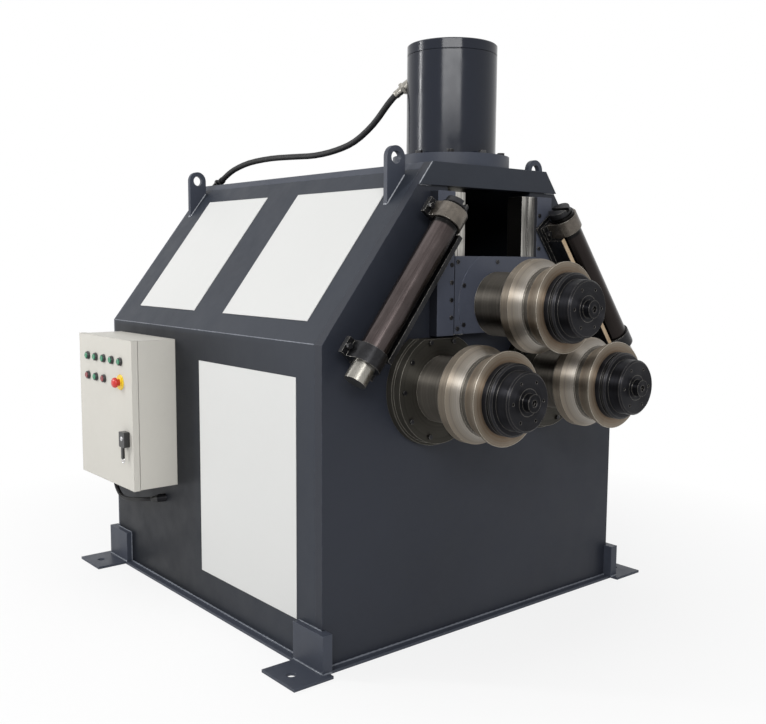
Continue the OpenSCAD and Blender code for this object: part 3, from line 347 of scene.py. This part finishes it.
class Look:
    """A node material around one principled shader."""

    def __init__(self, name):
        self.material = bpy.data.materials.new(name)
        self.material.use_nodes = True
        self.tree = self.material.node_tree
        self.shader = self.tree.nodes["Principled BSDF"]
        self.place = self.add("ShaderNodeTexCoord").outputs["Object"]

    def add(self, kind, **settings):
        made = self.tree.nodes.new(kind)
        for key, value in settings.items():
            setattr(made, key, value)
        return made

    def join(self, output, to):
        self.tree.links.new(output, to)

    def feed(self, socket, value):
        if isinstance(value, (int, float)):
            socket.default_value = value
        elif isinstance(value, tuple):
            socket.default_value = (*value, 1) if len(socket.default_value) == 4 else value
        else:
            self.join(value, socket)

    def math(self, operation, a, b=None, clamp=False):
        made = self.add("ShaderNodeMath", operation=operation, use_clamp=clamp)
        for socket, value in zip(made.inputs, (a, b)):
            if value is not None:
                self.feed(socket, value)
        return made.outputs[0]

    def vector(self, operation, a, b=None):
        made = self.add("ShaderNodeVectorMath", operation=operation)
        for socket, value in zip(made.inputs, (a, b)):
            if value is not None:
                self.feed(socket, value)
        return made.outputs["Value" if operation in ("DOT_PRODUCT", "LENGTH") else "Vector"]

    def axes(self, place=None):
        split = self.add("ShaderNodeSeparateXYZ")
        self.join(place or self.place, split.inputs[0])
        return split.outputs

    def combine(self, x=0, y=0, z=0):
        made = self.add("ShaderNodeCombineXYZ")
        for socket, value in zip(made.inputs, (x, y, z)):
            self.feed(socket, value)
        return made.outputs[0]

    def noise(self, scale, detail, rough, place=None, stretch=None):
        made = self.add("ShaderNodeTexNoise")
        made.inputs["Scale"].default_value = scale
        made.inputs["Detail"].default_value = detail
        made.inputs["Roughness"].default_value = rough
        source = place or self.place
        if stretch:
            mapping = self.add("ShaderNodeMapping")
            mapping.inputs["Scale"].default_value = stretch
            self.join(source, mapping.inputs["Vector"])
            source = mapping.outputs["Vector"]
        self.join(source, made.inputs["Vector"])
        return made.outputs["Fac"]

    def spread(self, value, low, high, to_low=0.0, to_high=1.0):
        made = self.add("ShaderNodeMapRange")
        for key, number in (("From Min", low), ("From Max", high), ("To Min", to_low), ("To Max", to_high)):
            made.inputs[key].default_value = number
        self.join(value, made.inputs["Value"])
        return made.outputs["Result"]

    def mix(self, share, a, b):
        made = self.add("ShaderNodeMix", data_type="RGBA")
        for key, value in ((MIX_SHARE, share), (MIX_FIRST, a), (MIX_SECOND, b)):
            self.feed(made.inputs[key], value)
        return made.outputs[MIX_RESULT]

    def normal(self):
        return self.add("ShaderNodeNewGeometry").outputs["Normal"]

    def edges(self, radius):
        """Rounded normal and a mask that is 1 on sharp edges."""
        rounded = self.add("ShaderNodeBevel", samples=BEVEL_SAMPLES)
        rounded.inputs["Radius"].default_value = radius
        dot = self.vector("DOT_PRODUCT", rounded.outputs["Normal"], self.normal())
        return rounded.outputs["Normal"], self.spread(dot, *EDGE_COSINES)

    def bump(self, height, strength, distance, normal=None):
        made = self.add("ShaderNodeBump")
        made.inputs["Strength"].default_value = strength
        made.inputs["Distance"].default_value = distance
        self.join(height, made.inputs["Height"])
        if normal is not None:
            self.join(normal, made.inputs["Normal"])
        self.join(made.outputs["Normal"], self.shader.inputs["Normal"])

    def brushed(self, along, amount, turn=0.0):
        """Stretches the gloss along a direction of the object's frame; a quarter turn stretches it across."""
        made = self.add("ShaderNodeVectorTransform", vector_type="VECTOR", convert_from="OBJECT",
                        convert_to="WORLD")
        self.join(along, made.inputs[0])
        self.join(made.outputs[0], self.shader.inputs["Tangent"])
        self.set(Anisotropic=amount, Anisotropic_Rotation=turn)

    def colour(self, value):
        self.join(value, self.shader.inputs["Base Color"])

    def rough(self, value):
        self.join(value, self.shader.inputs["Roughness"])

    def set(self, **values):
        for key, value in values.items():
            self.shader.inputs[key.replace("_", " ")].default_value = value


def scaled(colour, factor):
    return tuple(min(c * factor, 1) for c in colour)


def srgb(r, g, b):
    """Linear colour from screen values up to 255."""
    return tuple((c / 255 / 12.92) if c <= 10 else ((c / 255 + 0.055) / 1.055) ** 2.4 for c in (r, g, b))


def paint_look(name, colour, roughness=0.42, wear=0.5, bump=0.12, edge=None, shift=0.1, round_edge=0.003,
               gloss=0.25, rear_shade=False, shaded_flanks=False):
    """Sprayed paint: cloudy tone, orange-peel bump, rubbed edges.

    A rear-shaded wall gets painted shade that darkens its upright part to the rear, and shaded flanks are
    side faces of a plate painted dark as shade.
    """
    look = Look(name)
    normal, mask = look.edges(round_edge)
    clouds = look.spread(look.noise(*PAINT_CLOUDS), *USUAL)
    specks = look.spread(look.noise(*PAINT_SPECKS), low=0.35, high=0.75, to_high=0.35)
    tone = look.mix(clouds, scaled(colour, 1 - shift), scaled(colour, 1 + shift))
    tone = look.mix(specks, tone, scaled(colour, 1 + 1.5 * shift))
    # Painted shade: below the shoulder the wall darkens towards the rear, to about a third of its colour.
    if rear_shade:
        parts = look.axes()
        shoulder = SHOULDER_Z / METRE
        shaded_upright = look.spread(parts["Z"], shoulder, shoulder - SHADE_BAND)
        shade_depth = look.spread(parts["Y"], SHADE_FRONT, SHADE_REAR)
        tone = look.mix(look.math("MULTIPLY", shaded_upright, shade_depth), tone, scaled(colour, 0.36))
    # Painted shade: side faces, with normals along X, darken nearly to black.
    if shaded_flanks:
        side = look.math("ABSOLUTE", look.axes(look.normal())["X"])
        tone = look.mix(look.spread(side, low=0.7, high=0.9, to_high=0.9), tone, scaled(colour, 0.12))
    rubbed = look.spread(look.noise(*PAINT_SCUFFS), low=0.42, high=0.66, to_high=wear)
    tone = look.mix(look.math("MULTIPLY", mask, rubbed, clamp=True), tone, edge or scaled(colour, 3.2))
    look.colour(tone)
    sheen = look.noise(*PAINT_SHEEN)
    look.rough(look.spread(sheen, *USUAL, to_low=roughness - 0.07, to_high=roughness + 0.08))
    look.bump(look.noise(*ORANGE_PEEL), bump, distance=0.0006, normal=normal)
    look.set(Specular_IOR_Level=gloss)
    return look.material


def steel_look(name, colour, roughness, grain=(1, 1, 1), wear=0.6, dark=0.72, low=None):
    """Machined steel with a grain along one axis; a low colour takes over below 0.6 m and at the rear."""
    look = Look(name)
    normal, mask = look.edges(radius=0.0018)
    streak = look.noise(*STEEL_GRAIN, stretch=grain)
    cloudy = look.noise(*STEEL_STAINS)
    tone = look.mix(look.spread(cloudy, low=0.28, high=0.72), scaled(colour, dark), scaled(colour, 1.08))
    tone = look.mix(look.spread(streak, low=0.35, high=0.7, to_high=0.4), tone, scaled(colour, 1.25))
    tone = look.mix(look.math("MULTIPLY", mask, wear, clamp=True), tone, srgb(214, 210, 202))
    if low:
        parts = look.axes()
        below, behind = look.spread(parts["Z"], *FITTING_LOW), look.spread(parts["Y"], *FITTING_REAR)
        tone = look.mix(look.math("MAXIMUM", below, behind), tone, look.mix(mask, low, scaled(low, 2)))
    look.colour(tone)
    uneven = look.math("MULTIPLY", streak, cloudy)
    look.rough(look.spread(uneven, low=0.1, high=0.45, to_low=roughness - 0.08, to_high=roughness + 0.12))
    look.bump(streak, strength=0.18, distance=0.0004, normal=normal)
    look.set(Metallic=1.0)
    return look.material


def rail_look(name):
    """Ground rail: bright upright streaks on the front, and flanks painted dark as shade."""
    look = Look(name)
    normal, mask = look.edges(radius=0.0015)
    streak = look.noise(*RAIL_STREAKS, stretch=(1, 1, 0.03))
    cloudy = look.noise(*RAIL_STAINS)
    ahead = look.vector("DOT_PRODUCT", look.normal(), (0, -1, 0))
    tone = look.mix(look.spread(streak, low=0.35, high=0.62), srgb(92, 90, 88), srgb(206, 203, 196))
    tone = look.mix(look.spread(cloudy, low=0.55, high=0.8, to_high=0.6), tone, srgb(70, 68, 66))
    # Painted shade: faces that turn away from -Y darken nearly to black.
    tone = look.mix(look.spread(ahead, low=0.5, high=0.2), tone, srgb(26, 25, 25))
    tone = look.mix(look.math("MULTIPLY", mask, 0.5, clamp=True), tone, srgb(220, 218, 212))
    look.colour(tone)
    look.rough(look.spread(cloudy, *USUAL, to_low=0.28, to_high=0.5))
    look.bump(streak, strength=0.2, distance=0.0004, normal=normal)
    look.set(Metallic=0.85)
    return look.material


def turned_look(name, axis, inner, outer, low, high, roughness=0.44, wear=0.8, metal=1.0, twin=False,
                brush=0.93):
    """Turned metal with fine grooves about an axis along Y, given as a place on it in millimetres.

    The colour goes from inner to outer as the radius goes from low to high, in metres. A twin look
    serves two pieces that mirror each other across the middle plane.
    """
    look = Look(name)
    normal, mask = look.edges(radius=0.0036)
    parts = look.axes()
    flat = look.combine(x=look.math("ABSOLUTE", parts["X"]) if twin else parts["X"], z=parts["Z"])
    spoke = look.vector("SUBTRACT", flat, (axis.x / METRE, 0, axis.z / METRE))
    if twin:
        mirror = look.combine(x=look.math("SIGN", parts["X"]), z=1)
        spoke = look.vector("MULTIPLY", spoke, mirror)
    radius = look.vector("LENGTH", spoke)
    profile = look.combine(x=radius, y=parts["Y"])
    rings = look.noise(*TURNED_RINGS, place=profile)
    bands = look.noise(*TURNED_BANDS, place=profile)
    cloudy = look.noise(*TURNED_STAINS)
    tone = look.mix(look.spread(radius, low, high), inner, outer)
    tone = look.mix(look.spread(bands, low=0.35, high=0.68, to_high=0.6), tone, scaled(outer, 0.5))
    tone = look.mix(look.spread(rings, low=0.42, high=0.7, to_high=0.5), tone, scaled(outer, 1.5))
    tone = look.mix(look.spread(cloudy, low=0.5, high=0.78, to_high=0.5), tone, scaled(inner, 0.6))
    # Bright edge lines: partly worn bare edges, partly a painted highlight along the rims.
    tone = look.mix(look.math("MULTIPLY", mask, wear, clamp=True), tone, srgb(226, 220, 208))
    look.colour(tone)
    look.rough(look.spread(rings, *USUAL, to_low=roughness - 0.06, to_high=roughness + 0.12))
    look.bump(rings, strength=0.2, distance=0.0016, normal=normal)
    look.brushed(look.vector("CROSS_PRODUCT", spoke, (0, 1, 0)), brush, QUARTER_TURN)
    look.set(Metallic=metal)
    return look.material


def post_frame(look):
    """Coordinates along and across the two guide posts, in metres, and the raw place."""
    parts = look.axes()
    out = look.math("SUBTRACT", look.math("ABSOLUTE", parts["X"]), POST_X / METRE)
    rise = look.math("SUBTRACT", parts["Z"], POST_Z / METRE)
    c, s = math.cos(SLOPE), math.sin(SLOPE)
    along = look.math("SUBTRACT", look.math("MULTIPLY", rise, c), look.math("MULTIPLY", out, s))
    across = look.math("ADD", look.math("MULTIPLY", out, c), look.math("MULTIPLY", rise, s))
    return along, across, parts


def tube_look(name):
    """Burnished tube: streaks along it; painted shade darkens its under side and its head, and makes the
    right tube darker.
    """
    look = Look(name)
    normal, mask = look.edges(radius=0.0018)
    along, across, parts = post_frame(look)
    drawn_out = look.combine(look.math("MULTIPLY", along, 0.05), across, parts["Y"])
    streak = look.noise(*TUBE_STREAKS, place=drawn_out)
    cloudy = look.noise(*TUBE_STAINS)
    tone = look.mix(look.spread(cloudy, low=0.28, high=0.72), srgb(60, 53, 52), srgb(80, 72, 71))
    tone = look.mix(look.spread(streak, low=0.4, high=0.72, to_high=0.25), tone, srgb(106, 98, 97))
    # Painted shade: the under side of each tube darkens, and the right tube is darker as a whole.
    tone = look.mix(look.spread(across, *TUBE_SHADED_SIDE, to_high=0.85), tone, srgb(24, 21, 20))
    tone = look.mix(look.spread(parts["X"], *TUBE_SHADED_HALF, to_high=0.75), tone, srgb(30, 26, 24))
    tone = look.mix(look.math("MULTIPLY", mask, 0.5, clamp=True), tone, srgb(206, 200, 192))
    # Painted shade where the tube runs in under the upper saddle.
    tone = look.mix(look.spread(along, *TUBE_HEAD_SHADE), tone, srgb(20, 19, 19))
    look.colour(tone)
    look.rough(look.spread(streak, *USUAL, to_low=0.18, to_high=0.28))
    look.bump(streak, strength=0.05, distance=0.0003, normal=normal)
    lean = look.math("MULTIPLY", look.math("SIGN", parts["X"]), -math.sin(SLOPE))
    look.brushed(look.combine(x=lean, z=math.cos(SLOPE)), amount=0.6)
    look.set(Metallic=0.9)
    return look.material


def saddle_look(name):
    """Post brackets: blackened saddles, ears and plate; bare round of the upper saddle.

    The web's front edge is rubbed bare on the right post.
    """
    look = Look(name)
    normal, mask = look.edges(radius=0.002)
    along, across, parts = post_frame(look)
    arch = look.spread(look.math("ABSOLUTE", across), *SADDLE_ROUND)
    front = look.spread(parts["Y"], *SADDLE_FRONT)
    bare = look.math("MULTIPLY", look.math("MULTIPLY", look.spread(along, *SADDLE_UPPER), front), arch)
    clouds = look.spread(look.noise(*SADDLE_STAINS), *USUAL)
    rub = look.noise(*SADDLE_RUBS)
    dark = look.mix(clouds, srgb(20, 20, 22), srgb(46, 46, 48))
    steel = look.mix(clouds, srgb(66, 62, 57), srgb(112, 105, 97))
    tone = look.mix(bare, dark, steel)
    edge = look.math("MULTIPLY", look.spread(across, *WEB_SIDE), look.spread(parts["Y"], *WEB_FRONT))
    edge = look.math("MULTIPLY", edge, look.spread(parts["X"], *WEB_HALF))
    tone = look.mix(edge, tone, look.mix(clouds, srgb(150, 128, 102), srgb(190, 170, 142)))
    chips = look.spread(rub, low=0.4, high=0.6, to_low=0.2, to_high=0.9)
    tone = look.mix(look.math("MULTIPLY", mask, chips, clamp=True), tone, srgb(186, 182, 174))
    look.colour(tone)
    look.rough(look.spread(rub, *USUAL, to_low=0.24, to_high=0.4))
    look.bump(rub, strength=0.15, distance=0.0004, normal=normal)
    look.set(Metallic=0.75)
    return look.material


def black_look(name):
    """Blackened steel with chipped edges."""
    look = Look(name)
    normal, mask = look.edges(radius=0.0022)
    cloudy = look.noise(*OXIDE_STAINS)
    tone = look.mix(look.spread(cloudy, low=0.3, high=0.75), srgb(20, 20, 22), srgb(44, 44, 47))
    chips = look.spread(look.noise(*OXIDE_CHIPS), low=0.45, high=0.62, to_high=0.9)
    tone = look.mix(look.math("MULTIPLY", mask, chips, clamp=True), tone, srgb(170, 166, 158))
    look.colour(tone)
    look.rough(look.spread(cloudy, low=0.25, high=0.75, to_low=0.3, to_high=0.52))
    look.bump(look.noise(*OXIDE_GRAIN), strength=0.12, distance=0.0005, normal=normal)
    look.set(Metallic=0.6)
    return look.material


def rubber_look(name):
    """Black rubber with a fine weave."""
    look = Look(name)
    weave = look.noise(*RUBBER_WEAVE)
    dust = look.spread(look.noise(*RUBBER_DUST), *USUAL)
    look.colour(look.mix(dust, srgb(16, 16, 17), srgb(32, 32, 34)))
    look.rough(look.spread(weave, *USUAL, to_low=0.46, to_high=0.64))
    look.bump(weave, strength=0.25, distance=0.0006)
    look.set(Specular_IOR_Level=0.3)
    return look.material


def plastic_look(name, colour, roughness):
    """Moulded plastic with pale edges and a thin coat."""
    look = Look(name)
    normal, mask = look.edges(radius=0.0008)
    clouds = look.spread(look.noise(*PLASTIC_TONE), *USUAL)
    tone = look.mix(clouds, scaled(colour, 0.85), scaled(colour, 1.12))
    tone = look.mix(look.math("MULTIPLY", mask, 0.35, clamp=True), tone, scaled(colour, 1.9))
    look.colour(tone)
    sheen = look.noise(*PLASTIC_SHEEN)
    look.rough(look.spread(sheen, *USUAL, to_low=roughness - 0.05, to_high=roughness + 0.1))
    look.bump(look.noise(*PLASTIC_GRAIN), strength=0.06, distance=0.0002, normal=normal)
    look.set(Coat_Weight=0.25)
    return look.material


SLATE, PALE_STEEL = srgb(62, 66, 76), srgb(150, 147, 140)
slate = paint_look("slate_paint", SLATE, gloss=0.2)
# The front plate takes a darker copy of the slate: painted shade for the front faces.
shaded_slate = paint_look("slate_front_shaded", srgb(41, 44, 52), gloss=0.2, edge=scaled(SLATE, 3))
# The wall's slate takes painted shade towards the rear.
wall = paint_look("slate_wall", srgb(45, 49, 57), gloss=0.18, rear_shade=True)
# The keepers and slide face take a lighter copy of the slate: painted light on these faces.
lit_guide_slate = paint_look("slate_guide_lit", srgb(74, 78, 90), gloss=0.25, shaded_flanks=True)
satin = paint_look("slate_satin", srgb(28, 32, 42), roughness=0.18, bump=0.03, gloss=0.23)
# Both bead colours are lighter than the slate: a painted highlight that shows the beads as pale lines, paler
# still on the upper beads.
weld_highlight_paint = paint_look("weld_highlight_paint", srgb(104, 108, 117), roughness=0.3, wear=0.6, bump=0.3, gloss=0.4)
upper_weld_highlight = paint_look("upper_weld_highlight", srgb(150, 153, 159), roughness=0.32, wear=0.6, bump=0.3, gloss=0.4)
white = paint_look("white_paint", srgb(212, 212, 210), roughness=0.45, wear=0.25, bump=0.06,
                   edge=srgb(168, 168, 165), shift=0.012)
beige = paint_look("box_paint", srgb(200, 197, 189), roughness=0.45, wear=0.25, bump=0.2,
                   edge=srgb(222, 219, 212), shift=0.025, round_edge=0.005)
bright = steel_look("bright_steel", PALE_STEEL, roughness=0.32, grain=(1, 1, 0.08))
fitting = steel_look("fitting_steel", PALE_STEEL, roughness=0.32, low=srgb(34, 34, 36))
scratched = rail_look("scratched_rail")
burnished = tube_look("burnished_tube")
saddle_steel = saddle_look("saddle_steel")
dark_turned = turned_look("flange_steel", ROLLS["right"], srgb(70, 67, 61), srgb(62, 60, 55), low=0.12,
                          high=0.19, roughness=0.5, wear=0.3, metal=0.9, twin=True, brush=0.9)
black = black_look("black_oxide")
rubber = rubber_look("black_rubber")
red = plastic_look("red_plastic", srgb(196, 34, 30), roughness=0.28)
green = plastic_look("green_plastic", srgb(38, 128, 92), roughness=0.28)
dull_red = plastic_look("dull_red_plastic", srgb(132, 44, 48), roughness=0.28)
dark_plastic = plastic_look("black_plastic", srgb(24, 24, 25), roughness=0.4)
yellow = plastic_look("yellow_plastic", srgb(236, 200, 30), roughness=0.35)
chrome = steel_look("chrome_ring", srgb(198, 198, 200), roughness=0.16, wear=0.3, dark=0.85)


def dress(look, *names):
    """Gives solids a material."""
    for name in names:
        data = nodes[name].data
        data.materials.clear()
        data.materials.append(look)


def dress_rolls():
    """Each roll set has its own turned looks, about its own axis."""
    warm, steel, bronze = srgb(132, 123, 111), srgb(162, 158, 152), srgb(112, 90, 68)
    for side, axis in ROLLS.items():
        spacer = turned_look(f"{side}_spacer_steel", axis, srgb(84, 80, 75), srgb(94, 90, 84), low=0.07,
                             high=0.12, roughness=0.5)
        dress(spacer, f"{side}_spacers")
        inner = turned_look(f"{side}_inner_steel", axis, steel, warm, low=0.14, high=0.165)
        dress(inner, f"{side}_inner_roll")
        outer = turned_look(f"{side}_outer_steel", axis, bronze, warm, low=0.12, high=0.156)
        dress(outer, f"{side}_outer_roll")
        nut = turned_look(f"{side}_nut_black", axis, srgb(24, 24, 27), srgb(44, 44, 47), low=0.03, high=0.12,
                          roughness=0.4, wear=0.16)
        dress(nut, f"{side}_shaft", f"{side}_lock_nut")


dress(slate, "base_plate", "rear_plate", "top_plate", "anchor_feet", "lifting_lugs",
      "cylinder_flange", "gear_motor", "pump_set", "slide_block")
dress(lit_guide_slate, "keeper_plates", "slide_face")
dress(wall, "housing_left", "housing_right", "header_beam")
dress(shaded_slate, "front_plate")
dress(satin, "cylinder_barrel", "cylinder_cap")
dress(dark_turned, "bearing_flanges")
dress(white, "cover_panels")
dress(beige, "box_body", "box_door")
dress(bright, "piston_rod", "left_ram", "right_ram")
dress(fitting, "line_fittings")
dress(scratched, "guide_rails")
dress(burnished, "post_tubes")
dress(saddle_steel, "post_brackets")
dress(black, "frame_bolts", "slide_bolts", "drive_pinion", "left_spindle", "right_spindle")
dress(dark_plastic, "door_lock")
for cord in (hose, cable):
    cord.data.materials.append(rubber)
dress_rolls()


# Pieces that the solids leave plain
def weld_foot(mesh, s, e):
    """Adds the beads of the foot on side s and end e, both 1 or -1."""
    low, high = BASE_TOP + BEAD_OUT, UPRIGHT_TOP - BEAD_OUT
    side, out, within = s * (HALF_W + BEAD_OUT), s * (HALF_W + UPRIGHT_OUT), s * (HALF_W - UPRIGHT_IN)
    floor_side = out + s * BEAD_OUT
    edge, tail = e * (REAR + UPRIGHT_AHEAD), e * (REAR - UPRIGHT_TAIL)
    ahead = edge + e * BEAD_OUT
    ripple_bead(mesh, (side, tail, low), (side, tail, high), FOOT_BEAD)
    ripple_bead(mesh, (side, e * REAR, UPRIGHT_TOP), (side, tail, UPRIGHT_TOP), FOOT_BEAD)
    ripple_bead(mesh, (floor_side, edge, low), (floor_side, tail, low), FLOOR_BEAD)
    ripple_bead(mesh, (within, ahead, low), (out, ahead, low), FLOOR_BEAD)


def weld_lug(mesh, s, y):
    """Adds the beads round the lifting lug on side s at y."""
    (high_x, high_z), (low_x, low_z) = LUG_HIGH, LUG_LOW
    for face in (-LUG_HALF, LUG_HALF):
        ripple_bead(mesh, (s * high_x, y + face, high_z), (s * low_x, y + face, low_z), LUG_BEAD, LUG_STEP)
    end_x, end_z = s * (low_x + BEAD_OUT), low_z - BEAD_OUT
    ripple_bead(mesh, (end_x, y - LUG_HALF, end_z), (end_x, y + LUG_HALF, end_z), LUG_BEAD, LUG_END_STEP)


def weld_header(mesh, s):
    """Adds the beads under and beside the header beam on side s."""
    slope_end = HALF_TOP + (TOP_Z - HEADER_Z) * math.tan(SLOPE)
    y = FRONT - HEADER_OUT
    ripple_bead(mesh, (s * (slope_end - HEADER_OUT), y, HEADER_Z), (s * (HALF_TOP + BEAD_OUT), y, HEADER_Z),
                HEADER_BEAD)
    y = FRONT - HEADER_SIDE_OUT
    ripple_bead(mesh, (s * (slope_end - BEAD_OUT), y, HEADER_Z), (s * HALF_TOP, y, TOP_Z), HEADER_SIDE_BEAD)


def make_welds():
    mesh, upper = bmesh.new(), bmesh.new()
    low = BASE_TOP + BEAD_OUT
    for s in (-1, 1):
        wide, deep = s * (HALF_W + BEAD_OUT), s * (REAR + BEAD_OUT)
        ripple_bead(mesh, (-HALF_W, deep, low), (HALF_W, deep, low), FLOOR_BEAD)
        ripple_bead(mesh, (wide, FRONT, low), (wide, REAR, low), FLOOR_BEAD)
        seam = s * HALF_W
        ripple_bead(mesh, (seam, INNER_FRONT + SEAM_GAP, SHOULDER_Z), (seam, INNER_REAR, SHOULDER_Z),
                    SEAM_BEAD)
        weld_header(upper, s)
        for e in (-1, 1):
            weld_foot(mesh, s, e)
        for y in LUG_ROWS:
            weld_lug(upper, s, y)
    add_piece("weld_beads", mesh, weld_highlight_paint, "frame", ROUND_SHARP)
    add_piece("upper_beads", upper, upper_weld_highlight, "frame", ROUND_SHARP)


def make_buttons():
    for i, place in enumerate(BUTTONS):
        bezel = lathe(place, OUTWARD, closed(BEZEL))
        add_piece(f"bezel_{i + 1}", bezel, dark_plastic, "door")
        cap = lathe(place, OUTWARD, CAP)
        piece = add_piece(f"cap_{i + 1}", cap, dull_red if i in RED_BUTTONS else green, f"press_{i + 1}")
        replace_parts(piece, f"button_{i + 1}")


def make_stop():
    collar = lathe(STOP, OUTWARD, closed(COLLAR), STOP_SIDES)
    add_piece("stop_collar", collar, yellow, "door")
    head = lathe(STOP, OUTWARD, STOP_HEAD, STOP_SIDES)
    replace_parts(add_piece("stop_head", head, red, "stop"), "emergency_stop")


def make_key():
    """Barrel of the lock, and the ring on its key."""
    barrel = lathe(LOCK + Vector((0, 0, BARREL_RISE)), OUTWARD, LOCK_BARREL)
    add_piece("lock_barrel", barrel, chrome, "lock")
    ring = bmesh.new()
    centre = LOCK + Vector(KEY_RING_PLACE)
    loops = []
    for wide, out in circle(KEY_WIRE_SIDES):
        radius = KEY_RING_R + KEY_WIRE_R * wide
        loops.append([ring.verts.new((centre + Vector((KEY_WIRE_R * out, radius * c, radius * s))) / METRE)
                      for c, s in circle(KEY_RING_STEPS)])
    for low, high in zip(loops, loops[1:] + loops[:1]):
        skin(ring, low, high)
    add_piece("key_ring", ring, chrome, "lock", ROUND_SHARP)


def make_line_ends():
    first, last = hose_route[0], hose_route[-1]
    leave = (hose_route[1] - first).normalized()
    arrive = (last - hose_route[-2]).normalized()
    ends = ((1, first, leave, bright, "bright_steel"), (2, last, -arrive, black, "black_steel"))
    for i, place, way, look, slot in ends:
        add_piece(f"hose_ferrule_{i}", lathe(place, way, closed(FERRULE)), look, "frame")
    for i, place, way, look, slot in ends:
        nut = lathe(place, -way, closed(HOSE_NUT), NUT_SIDES)
        add_piece(f"hose_nut_{i}", nut, look, "frame", NUT_SHARP)
    first, last = cable_route[0], cable_route[-1]
    arrive = (last - cable_route[-2]).normalized()
    for name, place, way in (("cable_boot_1", first, Vector((0, 0, -1))), ("cable_boot_2", last, -arrive)):
        add_piece(name, lathe(place, way, closed(BOOT)), dark_plastic, "frame")


make_welds()
make_buttons()
make_stop()
make_key()
make_line_ends()

# Studio: pale floor, white surround, soft lamps; metres and watts
FLOOR_HALF, FLOOR_DROP = 30, 0.0005
FLOOR_DARK, FLOOR_PALE = (0.88, 0.88, 0.88), (0.91, 0.91, 0.91)
SHADOW_NEAR, SHADOW_FAR, SHADOW_GLOW = 1.1, 2.6, 0.8
SKY, SKY_STRENGTH, WHITE = (0.96, 0.98, 1, 1), 0.3, (1, 1, 1, 1)
LAMPS = (("key", (-3.7, -4.3, 3.3), (-0.3, -0.3, 1.0), (4.6, 1.2), 195),
         ("streak", (-3.2, 2.0, 2.5), (0, -0.6, 1.8), (0.3, 2.2), 65),
         ("top", (-0.4, 0.0, 5.2), (0, 0, 1.5), (3.5, 3.5), 45))


def make_floor():
    """Paper that glows white to the camera, less so near the part, where its shadow shows."""
    mesh = bpy.data.meshes.new("floor")
    h = FLOOR_HALF
    mesh.from_pydata([(-h, -h, 0), (h, -h, 0), (h, h, 0), (-h, h, 0)], [], [(0, 1, 2, 3)])
    floor = bpy.data.objects.new("floor", mesh)
    floor.location.z = -FLOOR_DROP
    collection.objects.link(floor)
    look = Look("floor_paper")
    look.colour(look.mix(look.noise(*PAPER_TONE), FLOOR_DARK, FLOOR_PALE))
    look.set(Roughness=0.8, Specular_IOR_Level=0.1)
    glow = look.add("ShaderNodeEmission")
    glow.inputs["Strength"].default_value = 1
    rays = look.add("ShaderNodeLightPath")
    seen = look.math("MAXIMUM", rays.outputs["Is Camera Ray"], rays.outputs["Is Glossy Ray"])
    seen = look.math("MAXIMUM", seen, rays.outputs["Is Transmission Ray"])
    away = look.spread(look.vector("LENGTH", look.place), SHADOW_NEAR, SHADOW_FAR, to_low=SHADOW_GLOW)
    blend = look.add("ShaderNodeMixShader")
    look.join(look.math("MULTIPLY", seen, away), blend.inputs[0])
    look.join(look.shader.outputs[0], blend.inputs[1])
    look.join(glow.outputs[0], blend.inputs[2])
    look.join(blend.outputs[0], look.tree.nodes["Material Output"].inputs["Surface"])
    mesh.materials.append(look.material)


def make_world():
    """White to the camera and in reflections, a dimmer sky for the light."""
    world = bpy.data.worlds.new("studio")
    scene.world = world
    world.use_nodes = True
    tree = world.node_tree
    base = tree.nodes["Background"]
    base.inputs["Color"].default_value = SKY
    base.inputs["Strength"].default_value = SKY_STRENGTH
    shown = tree.nodes.new("ShaderNodeBackground")
    shown.inputs["Color"].default_value = WHITE
    shown.inputs["Strength"].default_value = 1
    rays = tree.nodes.new("ShaderNodeLightPath")
    seen = rays.outputs["Is Camera Ray"]
    for more in ("Is Glossy Ray", "Is Transmission Ray"):
        largest = tree.nodes.new("ShaderNodeMath")
        largest.operation = "MAXIMUM"
        tree.links.new(seen, largest.inputs[0])
        tree.links.new(rays.outputs[more], largest.inputs[1])
        seen = largest.outputs[0]
    blend = tree.nodes.new("ShaderNodeMixShader")
    tree.links.new(seen, blend.inputs[0])
    tree.links.new(base.outputs[0], blend.inputs[1])
    tree.links.new(shown.outputs[0], blend.inputs[2])
    tree.links.new(blend.outputs[0], tree.nodes["World Output"].inputs["Surface"])


def make_lamps():
    for name, place, aim, size, power in LAMPS:
        data = bpy.data.lights.new(name, "AREA")
        data.shape = "RECTANGLE"
        data.size, data.size_y = size
        data.energy = power
        made = bpy.data.objects.new(name, data)
        made.location = place
        made.rotation_euler = (Vector(aim) - Vector(place)).to_track_quat("-Z", "Y").to_euler()
        collection.objects.link(made)


make_floor()
make_world()
make_lamps()
scene.view_settings.view_transform = "Standard"
